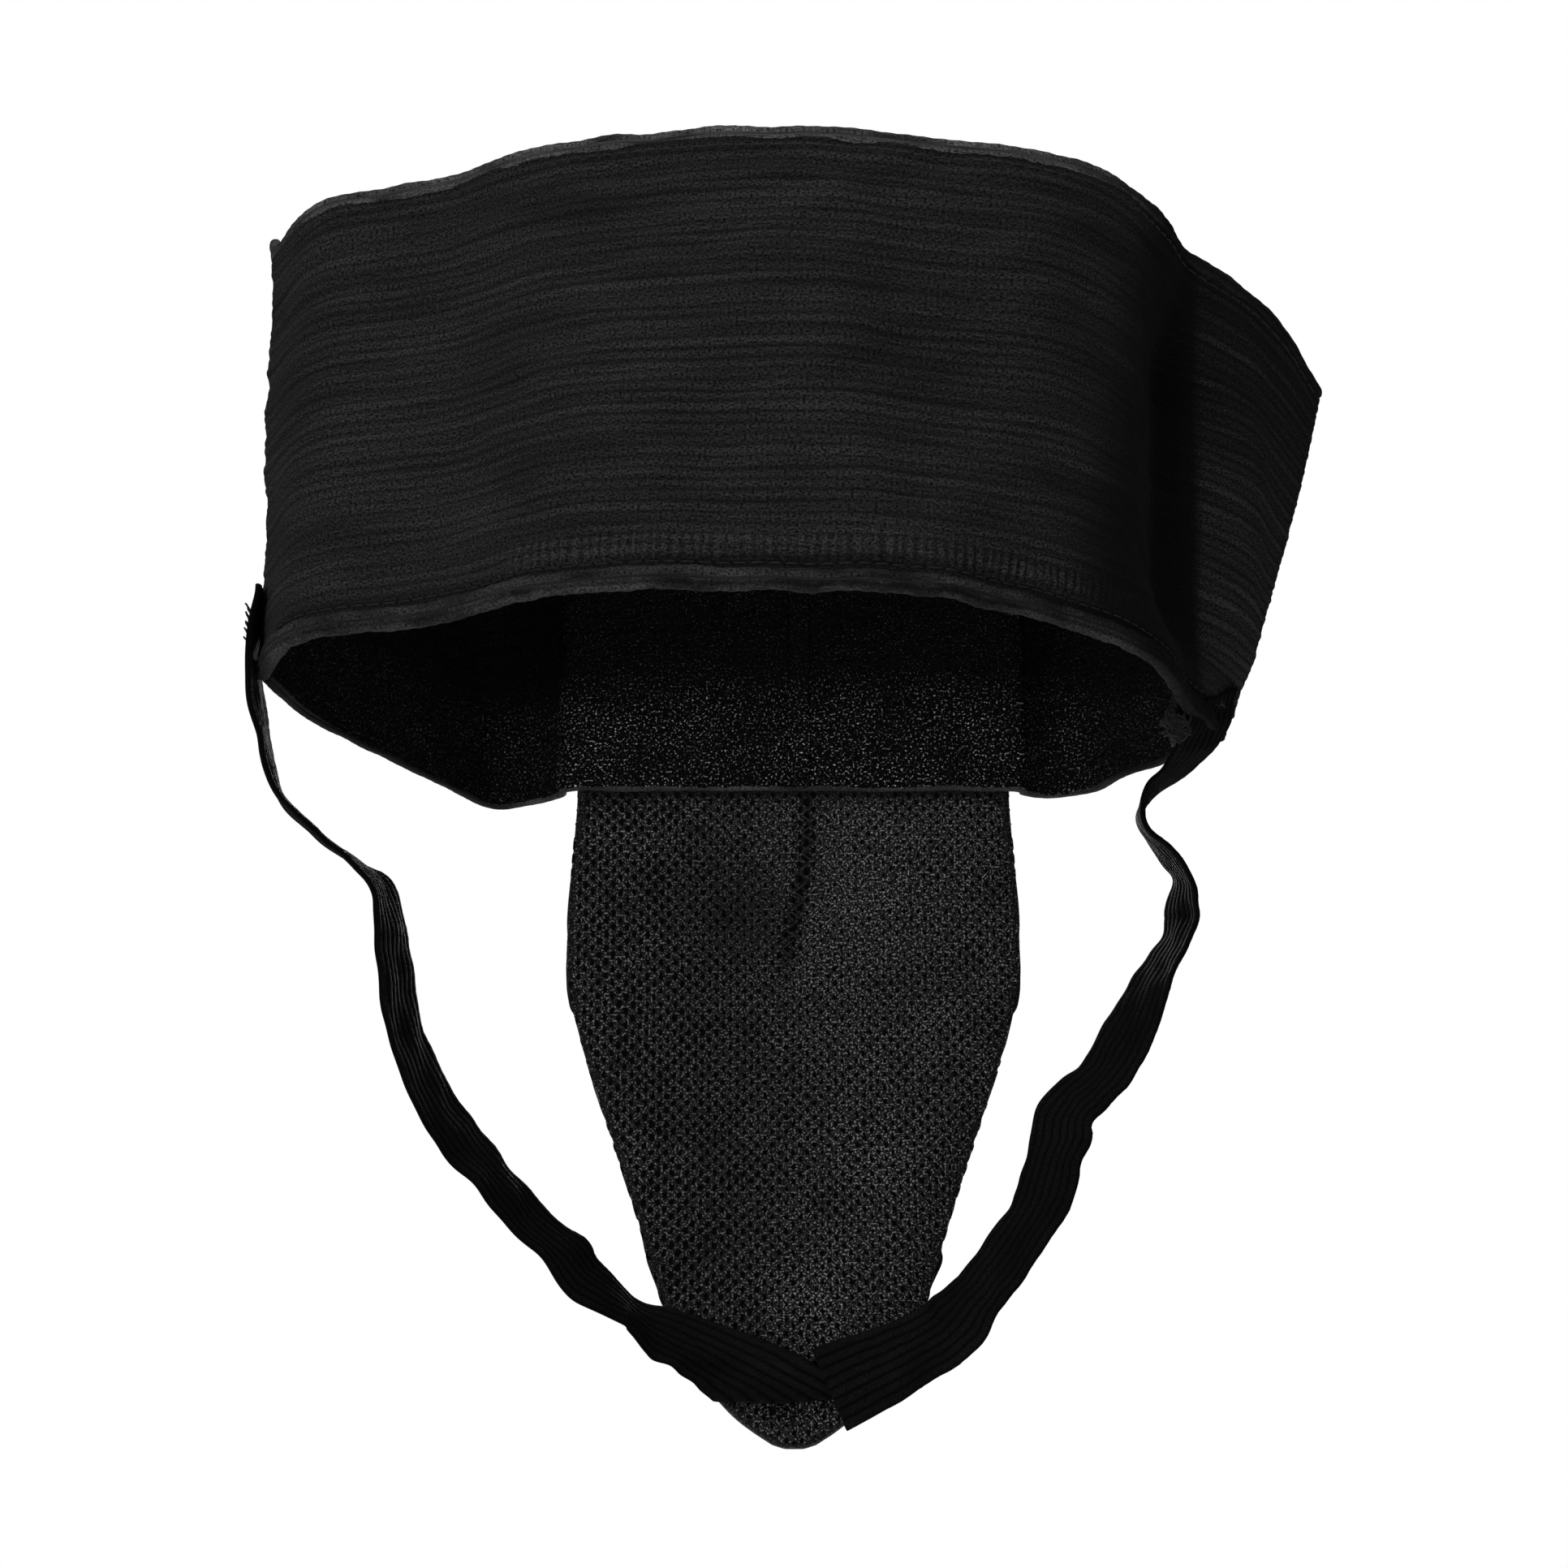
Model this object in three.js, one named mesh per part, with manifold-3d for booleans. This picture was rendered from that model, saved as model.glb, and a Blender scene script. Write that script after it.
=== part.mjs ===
// Groin protector: a wide ribbed elastic waistband, a padded pouch round a hard cup, and two leg straps.
// Millimetres, +Z up. The wearer faces -Y and the wearer's left is +X. The pieces are drawn round the middle
// of the waist opening, with z = 0 at the waistband's lower edge, so the band stands above it and the pouch
// hangs below. The whole guard is then moved, so that its origin is the middle of the front facing.

import * as THREE from "three";
import { mergeVertices } from "three/addons/utils/BufferGeometryUtils.js";
import Module from "manifold-3d";

// ---------------------------------------------------------------- driving dimensions
const GAP = 0.35; // between neighbouring pieces

const BAND_HEIGHT = 102; // 4 inch elastic
const FRONT_HEIGHT = 105; // the front panel is cut a little taller
const ELASTIC_THICKNESS = 1.8;
const TOP_HEM_HEIGHT = 4;
const WELT_HEIGHT = 5; // rolled lower edge of the back panel
const WELT_THICKNESS = 4.2;
const PIPING_HEIGHT = 2.4; // folded lower edge of the front panel
const THREAD = 0.6;

const FRONT_Y = -76; // the flat middle of the front panel
const FACING_HALF_WIDTH = 54;
const FACING_THICKNESS = 1.2;

const POUCH_LENGTH = 159;
const POUCH_TOP_Z = -2.4;
const SHELL_FABRIC = 1.0;
const MESH_THICKNESS = 1.2;
const EDGE_SEAM_WIDTH = 1.8;

const CUP_CENTRE_Z = -70;
const CUP_HALF_LENGTH = 52;
const CUP_HALF_WIDTH = 40; // at the middle; the cup is wider above it and narrower below
const CUP_TAPER = 0.16; // change of half width per mm of height
const CUP_DEPTH = 29;
const CUP_WALL = 3;
const CUP_LIFT = 7.2; // from the mesh to the cup's rim, room for the rim cushion
const FOAM_THICKNESS = 5;
const COVER_EASE = 5; // how much larger than the foam the cover is cut
const VENT_RADIUS = 3;

const STRAP_WIDTH = 20;
const STRAP_THICKNESS = 1.3;

// ---------------------------------------------------------------- plan of the waistband
// Each edge of the band is a line in plan (x, y), run from the left seam round the back to the right seam
// and round the front again. The lower and the upper edge have matching points, because the band leans.
const BACK_LOWER = [
  [114.5, 14], [104.5, 38], [76, 49], [50, 68], [5, 72], [-27, 66],
  [-46, 56], [-62, 42], [-80, 18], [-92, -12], [-98, -32],
];
const BACK_UPPER = [
  [117, 18], [102.5, 38], [72, 51], [46, 65], [5, 72], [-31, 67],
  [-55, 60], [-70, 48], [-88, 24], [-112, -14], [-133, -60],
];
const FRONT_RIGHT_LOWER = [
  [-95.5, -36.5], [-90, -48], [-80, -62], [-74, -77], [-65, -83], [-54, FRONT_Y],
];
const FRONT_RIGHT_UPPER = [
  [-130, -64.5], [-119, -77], [-102, -84], [-84, -86], [-67, -81], [-54, FRONT_Y],
];
const FRONT_LEFT_LOWER = [
  [54, FRONT_Y], [65, -88], [76, -92], [86, -71], [100, -40], [110, -13], [114.5, 12.8],
];
const FRONT_LEFT_UPPER = [
  [54, FRONT_Y], [66, -83], [80, -86], [97, -70], [110, -42], [116.5, -12], [117, 16.8],
];
// How the band leans from the lower line to the upper one. Below 1, most of the lean is in its lower half.
const LEAN_POWER = 0.75;

const BACK_STEPS = 44;
const FRONT_SIDE_STEPS = 16;
const FLAT_STEPS = 4;
const LAP_STEPS = 4;
const LAP_DEPTH = (WELT_THICKNESS + PIPING_HEIGHT) / 2 + GAP;

function planPoints(points, steps) {
  const places = points.map(([x, y]) => new THREE.Vector3(x, y, 0));
  const spline = new THREE.CatmullRomCurve3(places, false, "centripetal");
  return Array.from({ length: steps + 1 }, (_, i) => spline.getPoint(i / steps));
}

function flatPoints() {
  return Array.from({ length: FLAT_STEPS + 1 }, (_, i) => {
    const x = -FACING_HALF_WIDTH + (2 * FACING_HALF_WIDTH * i) / FLAT_STEPS;
    return new THREE.Vector3(x, FRONT_Y, 0);
  });
}

// A plan line moved sideways; outwards is positive.
function offsetLine(line, offset) {
  return line.map((p, i) => {
    const before = line[Math.max(i - 1, 0)];
    const after = line[Math.min(i + 1, line.length - 1)];
    const along = after.clone().sub(before).normalize();
    return new THREE.Vector3(p.x + along.y * offset, p.y - along.x * offset, 0);
  });
}

const backPlan = { lower: planPoints(BACK_LOWER, BACK_STEPS), upper: planPoints(BACK_UPPER, BACK_STEPS) };

// The front panel starts inside the right end of the back panel, which it underlaps by LAP_STEPS, turns the
// right fold, crosses the flat middle and ends at the left seam.
function frontPlan(backLine, right, left) {
  return [
    ...offsetLine(backLine, -LAP_DEPTH).slice(BACK_STEPS - LAP_STEPS - 1, BACK_STEPS),
    ...planPoints(right, FRONT_SIDE_STEPS).slice(0, -1),
    ...flatPoints(),
    ...planPoints(left, FRONT_SIDE_STEPS).slice(1),
  ];
}

const wholeFrontPlan = {
  lower: frontPlan(backPlan.lower, FRONT_RIGHT_LOWER, FRONT_LEFT_LOWER),
  upper: frontPlan(backPlan.upper, FRONT_RIGHT_UPPER, FRONT_LEFT_UPPER),
};
const facingPlan = { lower: flatPoints(), upper: flatPoints() };

// ---------------------------------------------------------------- closed sheets
// A sheet is two grids of points, its outer and its inner face, closed along its borders. Rows run along i
// and columns along j, and the outer face looks along i x j. A loop has no first and last border.
function sheetSolid(outer, inner, loop = false) {
  const rows = outer.length;
  const columns = outer[0].length;
  const innerStart = rows * columns;
  const position = [...outer.flat(), ...inner.flat()].flatMap((p) => [p.x, p.y, p.z]);
  const o = (i, j) => (i % rows) * columns + j;
  const n = (i, j) => innerStart + o(i, j);
  const index = [];
  const quad = (a, b, c, d) => index.push(a, b, c, a, c, d);
  const spans = loop ? rows : rows - 1;
  for (let i = 0; i < spans; i++) {
    for (let j = 0; j < columns - 1; j++) {
      quad(o(i, j), o(i + 1, j), o(i + 1, j + 1), o(i, j + 1));
      quad(n(i, j), n(i, j + 1), n(i + 1, j + 1), n(i + 1, j));
    }
    quad(o(i, 0), n(i, 0), n(i + 1, 0), o(i + 1, 0));
    quad(o(i, columns - 1), o(i + 1, columns - 1), n(i + 1, columns - 1), n(i, columns - 1));
  }
  if (!loop) {
    for (let j = 0; j < columns - 1; j++) {
      quad(o(0, j), o(0, j + 1), n(0, j + 1), n(0, j));
      quad(o(rows - 1, j), n(rows - 1, j), n(rows - 1, j + 1), o(rows - 1, j + 1));
    }
  }
  const geometry = new THREE.BufferGeometry();
  geometry.setAttribute("position", new THREE.Float32BufferAttribute(position, 3));
  geometry.setIndex(index);
  geometry.computeVertexNormals();
  return geometry;
}

// A wall stands on a plan line. Each level is [z, inner offset, outer offset], measured square to the line.
function wallSolid(plan, levels) {
  const count = plan.lower.length;
  const pointAt = (i, z) => plan.lower[i].clone().lerp(plan.upper[i], (z / BAND_HEIGHT) ** LEAN_POWER);
  const facePoint = (i, z, offset) => {
    const before = pointAt(Math.max(i - 1, 0), z);
    const after = pointAt(Math.min(i + 1, count - 1), z);
    const along = after.sub(before).normalize();
    const p = pointAt(i, z);
    return new THREE.Vector3(p.x + along.y * offset, p.y - along.x * offset, z);
  };
  const face = (pick) =>
    Array.from({ length: count }, (_, i) => levels.map((level) => facePoint(i, level[0], level[pick])));
  return sheetSolid(face(2), face(1));
}

function evenLevels(bottom, top, inner, outer, steps) {
  return Array.from({ length: steps + 1 }, (_, i) => [bottom + ((top - bottom) * i) / steps, inner, outer]);
}

// A rolled edge: half an ellipse on each side of the plan line.
function rolledLevels(bottom, top, thickness, steps = 4) {
  return Array.from({ length: steps + 1 }, (_, i) => {
    const t = i / steps;
    const half = (thickness / 2) * Math.sqrt(Math.max(1 - (2 * t - 1) ** 2, 0.12));
    return [bottom + (top - bottom) * t, -half, half];
  });
}

// ---------------------------------------------------------------- waistband pieces
const halfElastic = ELASTIC_THICKNESS / 2;

function backElastic() {
  const top = BAND_HEIGHT - TOP_HEM_HEIGHT;
  return wallSolid(backPlan, evenLevels(WELT_HEIGHT + GAP, top, -halfElastic, halfElastic, 4));
}

function backTopHem() {
  return wallSolid(backPlan, rolledLevels(BAND_HEIGHT - TOP_HEM_HEIGHT + GAP, BAND_HEIGHT, 2.6));
}

function backBottomWelt() {
  return wallSolid(backPlan, rolledLevels(0, WELT_HEIGHT, WELT_THICKNESS));
}

function backHemStitching() {
  const inner = halfElastic + GAP;
  return wallSolid(backPlan, evenLevels(WELT_HEIGHT + 2, WELT_HEIGHT + 2 + THREAD, inner, inner + THREAD, 1));
}

function frontElastic() {
  const top = FRONT_HEIGHT - TOP_HEM_HEIGHT;
  return wallSolid(wholeFrontPlan, evenLevels(PIPING_HEIGHT + GAP, top, -halfElastic, halfElastic, 4));
}

function frontTopHem() {
  return wallSolid(wholeFrontPlan, rolledLevels(FRONT_HEIGHT - TOP_HEM_HEIGHT + GAP, FRONT_HEIGHT, 2.6));
}

function frontHemPiping() {
  return wallSolid(wholeFrontPlan, rolledLevels(0, PIPING_HEIGHT, PIPING_HEIGHT));
}

function frontFacing() {
  const inner = halfElastic + GAP;
  const top = FRONT_HEIGHT - TOP_HEM_HEIGHT;
  return wallSolid(facingPlan, evenLevels(PIPING_HEIGHT + GAP, top, inner, inner + FACING_THICKNESS, 2));
}

// The row of thread that holds one side of the facing down, just inside the facing's edge.
function facingStitching(side) {
  const y = FRONT_Y - halfElastic - FACING_THICKNESS - 2 * GAP - THREAD / 2;
  const geometry = new THREE.BoxGeometry(THREAD, THREAD, FRONT_HEIGHT - 2 * TOP_HEM_HEIGHT - 4);
  geometry.translate(side * (FACING_HALF_WIDTH - 3), y, FRONT_HEIGHT / 2);
  return geometry;
}

function centreFrontSeam() {
  const width = 5;
  const thickness = 0.8;
  const geometry = new THREE.BoxGeometry(width, thickness, FRONT_HEIGHT - TOP_HEM_HEIGHT - PIPING_HEIGHT - 2);
  geometry.translate(-1.5, FRONT_Y + halfElastic + GAP + thickness / 2, (FRONT_HEIGHT - 1) / 2);
  return geometry;
}

// A tape inside the band covers the end of a panel at each side seam. It starts above the strap's sewn end.
// Depth is how far in it lies.
function sideSeamTape(plan, depth) {
  const thickness = 0.8;
  const outer = -halfElastic - GAP - depth;
  const bottom = WELT_HEIGHT + STRAP_WIDTH / 2;
  const top = BAND_HEIGHT - TOP_HEM_HEIGHT - 2;
  return wallSolid(plan, evenLevels(bottom, top, outer - thickness, outer, 3));
}

function planPart(plan, from, to) {
  return { lower: plan.lower.slice(from, to), upper: plan.upper.slice(from, to) };
}

// The left panels meet end to end.
function leftSideSeamTape() {
  const front = planPart(wholeFrontPlan, wholeFrontPlan.lower.length - 3, wholeFrontPlan.lower.length - 1);
  const back = planPart(backPlan, 1, 3);
  const plan = { lower: [...front.lower, ...back.lower], upper: [...front.upper, ...back.upper] };
  return sideSeamTape(plan, 0.25);
}

// The right panels lap, so the tape lies over the front panel's end.
function rightSideSeamTape() {
  const nearLap = planPart(backPlan, BACK_STEPS - LAP_STEPS - 3, BACK_STEPS - LAP_STEPS + 1);
  return sideSeamTape(nearLap, LAP_DEPTH + GAP);
}

// ---------------------------------------------------------------- pouch surfaces
// Share of the pouch's length at a height, 0 at the hem and 1 at the tip.
const lengthShare = (z) => THREE.MathUtils.clamp(-z / POUCH_LENGTH, 0, 1);

// Body side of the pouch: it dips away from the body in the middle and turns back under it at the tip.
function bodyFaceY(x, z) {
  const s = lengthShare(z);
  const lengthwise = -8 * Math.sin(Math.PI * s) + 20 * s * s;
  const acrossHollow = 3 * Math.sin(Math.PI * s) * (x / 56) ** 2;
  return FRONT_Y + lengthwise + acrossHollow;
}

// Half width of the pouch: nearly parallel to a third of its length, then tapering to a rounded tip.
const POUCH_HALF_WIDTHS = [
  [0, 56], [0.23, 58], [0.36, 55], [0.5, 48], [0.65, 40],
  [0.78, 33.5], [0.87, 27], [0.94, 18.5], [0.98, 11], [1, 5],
].map(([share, half]) => new THREE.Vector2(share, half));
const halfWidthCurve = new THREE.SplineCurve(POUCH_HALF_WIDTHS);
const POUCH_ROWS = 22;

// Rows from the tip to the hem: each has its height and the half width there.
const pouchRows = Array.from({ length: POUCH_ROWS + 1 }, (_, j) => {
  const p = halfWidthCurve.getPoint(1 - j / POUCH_ROWS);
  const z = POUCH_TOP_Z - p.x * (POUCH_LENGTH + POUCH_TOP_Z);
  return { z, half: p.y };
});

// A layer of the pouch, between two depths in front of the body side. A depth is a function of x and z.
function pouchLayer(backDepth, frontDepth, inset, columns = 20) {
  const face = (depth) =>
    Array.from({ length: columns + 1 }, (_, i) => {
      const u = (2 * i) / columns - 1;
      return pouchRows.map(({ z, half }) => {
        const x = u * (half - inset);
        return new THREE.Vector3(x, bodyFaceY(x, z) - depth(x, z), z);
      });
    });
  return sheetSolid(face(frontDepth), face(backDepth));
}

// The cup's outline is an egg: an ellipse whose width grows with height. Grow makes it larger all round.
const eggHalfWidth = (z, grow) => CUP_HALF_WIDTH + grow + CUP_TAPER * (z - CUP_CENTRE_Z);
const eggRadius = (x, z, grow) =>
  Math.hypot(x / eggHalfWidth(z, grow), (z - CUP_CENTRE_Z) / (CUP_HALF_LENGTH + grow));
const domeProfile = (radius) => Math.max(1 - radius * radius, 0) ** 0.68;

// A dome over the egg, from one growth of it to another. A square grid is pressed into the egg's outline.
function domeSheet(innerGrow, outerGrow, steps = 14) {
  const face = (grow) =>
    Array.from({ length: steps + 1 }, (_, i) => {
      const u = (2 * i) / steps - 1;
      return Array.from({ length: steps + 1 }, (_, j) => {
        const v = (2 * j) / steps - 1;
        const across = u * Math.sqrt(1 - (v * v) / 2);
        const along = v * Math.sqrt(1 - (u * u) / 2);
        const z = CUP_CENTRE_Z + along * (CUP_HALF_LENGTH + grow);
        const x = across * eggHalfWidth(z, grow);
        const height = (CUP_DEPTH + grow) * domeProfile(Math.hypot(across, along));
        return new THREE.Vector3(x, bodyFaceY(x, z) - CUP_LIFT - height, z);
      });
    });
  return sheetSolid(face(outerGrow), face(innerGrow));
}

// ---------------------------------------------------------------- pouch pieces
function meshLining() {
  return pouchLayer(() => 0, () => MESH_THICKNESS, EDGE_SEAM_WIDTH + GAP);
}

const foamGrow = CUP_WALL + GAP + FOAM_THICKNESS;

function outerCover() {
  const grow = foamGrow + COVER_EASE;
  const near = MESH_THICKNESS + GAP;
  const dome = (x, z) => (CUP_LIFT - near + CUP_DEPTH + grow) * domeProfile(eggRadius(x, z, grow));
  return pouchLayer(
    (x, z) => near + dome(x, z),
    (x, z) => near + SHELL_FABRIC + dome(x, z) * 1.03,
    EDGE_SEAM_WIDTH + GAP,
  );
}

function foamPad() {
  return domeSheet(CUP_WALL + GAP, foamGrow);
}

function solidOf(wasm, geometry) {
  const bare = geometry.clone();
  bare.deleteAttribute("normal");
  bare.deleteAttribute("uv");
  const merged = mergeVertices(bare, 1e-4);
  return new wasm.Manifold(
    new wasm.Mesh({
      numProp: 3,
      vertProperties: new Float32Array(merged.attributes.position.array),
      triVerts: new Uint32Array(merged.index.array),
    }),
  );
}

function geometryOf(solid) {
  const mesh = solid.getMesh();
  const geometry = new THREE.BufferGeometry();
  geometry.setAttribute("position", new THREE.Float32BufferAttribute(mesh.vertProperties, 3));
  geometry.setIndex(new THREE.BufferAttribute(mesh.triVerts, 1));
  geometry.computeVertexNormals();
  return geometry;
}

// Hard shell with rows of round vents down its middle.
function protectiveCup(wasm) {
  let shell = solidOf(wasm, domeSheet(0, CUP_WALL));
  const vents = [
    [0, 24], [-14, 10], [14, 10], [0, -2], [-12, -14], [12, -14], [0, -28],
  ];
  for (const [x, up] of vents) {
    const drill = new THREE.CylinderGeometry(VENT_RADIUS, VENT_RADIUS, CUP_DEPTH * 2, 12);
    drill.translate(x, FRONT_Y - CUP_LIFT - CUP_DEPTH, CUP_CENTRE_Z + up);
    shell = shell.subtract(solidOf(wasm, drill));
  }
  return geometryOf(shell);
}

// Soft ring between the mesh and the cup's rim.
function rimCushion() {
  const steps = 40;
  const near = MESH_THICKNESS + GAP;
  const far = CUP_LIFT - GAP;
  const levels = 4;
  const halfWidth = 2.6;
  const ring = (side) =>
    Array.from({ length: steps }, (_, i) => {
      const angle = (2 * Math.PI * i) / steps;
      return Array.from({ length: levels + 1 }, (_, j) => {
        const t = j / levels;
        const grow = CUP_WALL / 2 + side * halfWidth * Math.sqrt(Math.max(1 - (2 * t - 1) ** 2, 0.15));
        const z = CUP_CENTRE_Z + Math.sin(angle) * (CUP_HALF_LENGTH + grow);
        const x = Math.cos(angle) * eggHalfWidth(z, grow);
        return new THREE.Vector3(x, bodyFaceY(x, z) - near - (far - near) * t, z);
      });
    });
  return sheetSolid(ring(1), ring(-1), true);
}

// The seam that closes one long edge of the pouch, from the hem to the tip.
function edgeSeam(side) {
  const depths = [1.2, 0, -1.4, -2.8];
  const face = (offset) =>
    [...pouchRows].reverse().map(({ z, half }) => {
      const x = side * (half - EDGE_SEAM_WIDTH + offset);
      const columns = depths.map((depth) => new THREE.Vector3(x, bodyFaceY(x, z) - 1.2 + depth, z));
      return side > 0 ? columns.reverse() : columns;
    });
  return sheetSolid(face(EDGE_SEAM_WIDTH), face(0));
}

// Short dart in the mesh, down from the middle of the hem.
function meshCentreSeam() {
  const steps = 8;
  const halfWidth = 1.3;
  const thickness = 0.7;
  const length = 42;
  const face = (lift) =>
    Array.from({ length: steps + 1 }, (_, i) => {
      const t = i / steps;
      const z = POUCH_TOP_Z - 1 - length * t;
      const middle = 3.5 * t * t - 1;
      return [halfWidth, -halfWidth].map((dx) => {
        const x = middle + dx;
        return new THREE.Vector3(x, bodyFaceY(x, z) + lift, z);
      });
    });
  return sheetSolid(face(GAP + thickness), face(GAP));
}

// ---------------------------------------------------------------- leg straps
// Each station is the middle of the web (x, y, z) and its turn in degrees: 90 lies in a fore-and-aft plane,
// and 0 or 180 faces backwards. The web is slack, so it twists and waves between its two sewn ends.
const LEFT_STRAP = [
  [118, 13, 19, 90], [118, 13, 4, 90], [116.5, 8, -11, 92], [112.5, 3, -23, 89], [103.5, -3, -32, 83],
  [92, -8, -41, 77], [88.5, -13, -56, 74], [87, -18, -69, 70], [82, -23, -82, 67], [75, -28, -93, 62],
  [66.5, -33, -103, 64], [56.5, -39, -114, 63], [48.5, -44, -122, 58], [39, -50, -128, 64],
];
const LEFT_STRAP_END = [
  [37, -51, -129.5, 62], [25, -54.5, -136, 50], [13, -56.8, -142.5, 26], [1, -55.6, -149, 4],
];
const RIGHT_STRAP = [
  [-86, -25.5, 5, 90], [-87, -25.5, -4, 90], [-90.5, -28, -10.5, 84], [-88, -30, -15, 84],
  [-81.5, -32.5, -21, 88], [-87, -36, -31, 94], [-89.5, -38, -41, 105], [-83.5, -40, -53, 109],
  [-77, -42, -67, 124], [-71, -44, -77, 124],
  [-61, -46, -87, 128], [-57, -48, -104, 127], [-51, -49, -114, 126], [-43, -50, -125, 128],
];
const RIGHT_STRAP_END = [
  [-42.2, -50, -126, 128], [-36, -51, -133, 137], [-26, -53, -139, 146], [-8, -53.6, -147, 174],
];

// A web through its stations, cut between two lengths across its width (in mm from its middle).
function webSolid(stations, steps, across, lift, thickness) {
  const path = new THREE.CatmullRomCurve3(
    stations.map(([x, y, z]) => new THREE.Vector3(x, y, z)),
    false,
    "centripetal",
  );
  const turnAt = (t) => {
    const place = t * (stations.length - 1);
    const from = Math.min(Math.floor(place), stations.length - 2);
    const turn = THREE.MathUtils.lerp(stations[from][3], stations[from + 1][3], place - from);
    return THREE.MathUtils.degToRad(turn);
  };
  const backwards = new THREE.Vector3(0, 1, 0);
  const frames = Array.from({ length: steps + 1 }, (_, i) => {
    const t = i / steps;
    const along = path.getTangent(t);
    const sideways = along.clone().cross(backwards).normalize();
    const deep = sideways.clone().cross(along);
    const width = sideways.multiplyScalar(Math.cos(turnAt(t))).addScaledVector(deep, Math.sin(turnAt(t)));
    return { middle: path.getPoint(t), width, normal: along.cross(width).normalize() };
  });
  const face = (offset) =>
    frames.map(({ middle, width, normal }) =>
      across.map((w) => middle.clone().addScaledVector(width, w).addScaledVector(normal, offset)),
    );
  return sheetSolid(face(lift + thickness / 2), face(lift - thickness / 2));
}

const STRAP_ACROSS = [-STRAP_WIDTH / 2, 0, STRAP_WIDTH / 2];

function strapWeb(stations, stepsPerStation = 4) {
  return webSolid(stations, (stations.length - 1) * stepsPerStation, STRAP_ACROSS, 0, STRAP_THICKNESS);
}

// Zigzag bar tack: one thread run to and fro over a patch that lies in the YZ plane.
function zigzagTack(wasm, height, width, passes) {
  const rise = height / passes;
  let tack = null;
  for (let i = 0; i < passes; i++) {
    const thread = new THREE.BoxGeometry(THREAD, Math.hypot(width, rise) + THREAD, THREAD);
    thread.rotateX((i % 2 ? 1 : -1) * Math.atan2(rise, width));
    thread.translate(0, 0, rise * (i + 0.5) - height / 2);
    const solid = solidOf(wasm, thread);
    tack = tack ? tack.add(solid) : solid;
  }
  return geometryOf(tack);
}

// ---------------------------------------------------------------- materials
function fabric(colour, roughness) {
  return new THREE.MeshStandardMaterial({ color: colour, roughness, metalness: 0 });
}

const materials = {
  elastic: fabric(0x1c1c1e, 0.95),
  hem: fabric(0x262628, 0.9),
  facing: fabric(0x171718, 0.9),
  thread: fabric(0x343437, 0.8),
  cover: fabric(0x161617, 0.9),
  foam: fabric(0x2c2c2e, 1.0),
  cup: fabric(0xcfcfca, 0.45),
  cushion: fabric(0x2a2a2c, 1.0),
  mesh: fabric(0x1a1a1c, 0.85),
  strap: fabric(0x121213, 0.9),
};

// ---------------------------------------------------------------- assembly
function named(name, geometry, material) {
  const mesh = new THREE.Mesh(geometry, material);
  mesh.name = name;
  return mesh;
}

function grouped(...children) {
  const group = new THREE.Group();
  group.add(...children);
  return group;
}

function waistband() {
  return grouped(
    named("front_elastic", frontElastic(), materials.elastic),
    named("front_facing", frontFacing(), materials.facing),
    named("front_top_hem", frontTopHem(), materials.hem),
    named("front_hem_piping", frontHemPiping(), materials.hem),
    named("centre_front_seam", centreFrontSeam(), materials.thread),
    named("left_facing_stitching", facingStitching(1), materials.thread),
    named("right_facing_stitching", facingStitching(-1), materials.thread),
    named("left_side_seam_tape", leftSideSeamTape(), materials.hem),
    named("right_side_seam_tape", rightSideSeamTape(), materials.hem),
  );
}

function backBand() {
  return grouped(
    named("back_elastic", backElastic(), materials.elastic),
    named("back_top_hem", backTopHem(), materials.hem),
    named("back_bottom_welt", backBottomWelt(), materials.hem),
    named("back_hem_stitching", backHemStitching(), materials.thread),
  );
}

function pouch(wasm) {
  return grouped(
    named("pouch_outer_cover", outerCover(), materials.cover),
    named("pouch_foam_pad", foamPad(), materials.foam),
    named("protective_cup", protectiveCup(wasm), materials.cup),
    named("cup_rim_cushion", rimCushion(), materials.cushion),
    named("pouch_mesh_lining", meshLining(), materials.mesh),
    named("mesh_centre_seam", meshCentreSeam(), materials.thread),
    named("left_pouch_edge_seam", edgeSeam(1), materials.cover),
    named("right_pouch_edge_seam", edgeSeam(-1), materials.cover),
    named("left_strap_sewn_end", strapWeb(LEFT_STRAP_END, 6), materials.strap),
    named("right_strap_sewn_end", strapWeb(RIGHT_STRAP_END, 6), materials.strap),
  );
}

// Puts a bar tack on a web's outer face, which is on the strap's own side of the guard.
function placedTack(name, geometry, side, [x, y, z]) {
  const lift = STRAP_THICKNESS / 2 + GAP + THREAD / 2;
  const tack = named(name, geometry, materials.thread);
  tack.position.set(x + side * lift, y, z);
  return tack;
}

function leftStrap(wasm) {
  const [x, y] = LEFT_STRAP[0];
  return grouped(
    named("left_leg_strap", strapWeb(LEFT_STRAP), materials.strap),
    placedTack("left_strap_bar_tack", zigzagTack(wasm, 8, 14, 8), 1, [x, y, 12]),
  );
}

function rightStrap(wasm) {
  const [x, y] = RIGHT_STRAP[1];
  return grouped(
    named("right_leg_strap", strapWeb(RIGHT_STRAP), materials.strap),
    placedTack("right_strap_bar_tack", zigzagTack(wasm, 4, 12, 5), -1, [x, y, -1.5]),
  );
}

const wasm = await Module();
wasm.setup();

const facingY = FRONT_Y - halfElastic - GAP - FACING_THICKNESS;
const facingMiddle = new THREE.Vector3(0, facingY, (FRONT_HEIGHT - 1) / 2);
const guard = grouped(waistband(), backBand(), pouch(wasm), leftStrap(wasm), rightStrap(wasm));
guard.position.copy(facingMiddle).negate();

export default guard;
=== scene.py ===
import math

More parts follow.
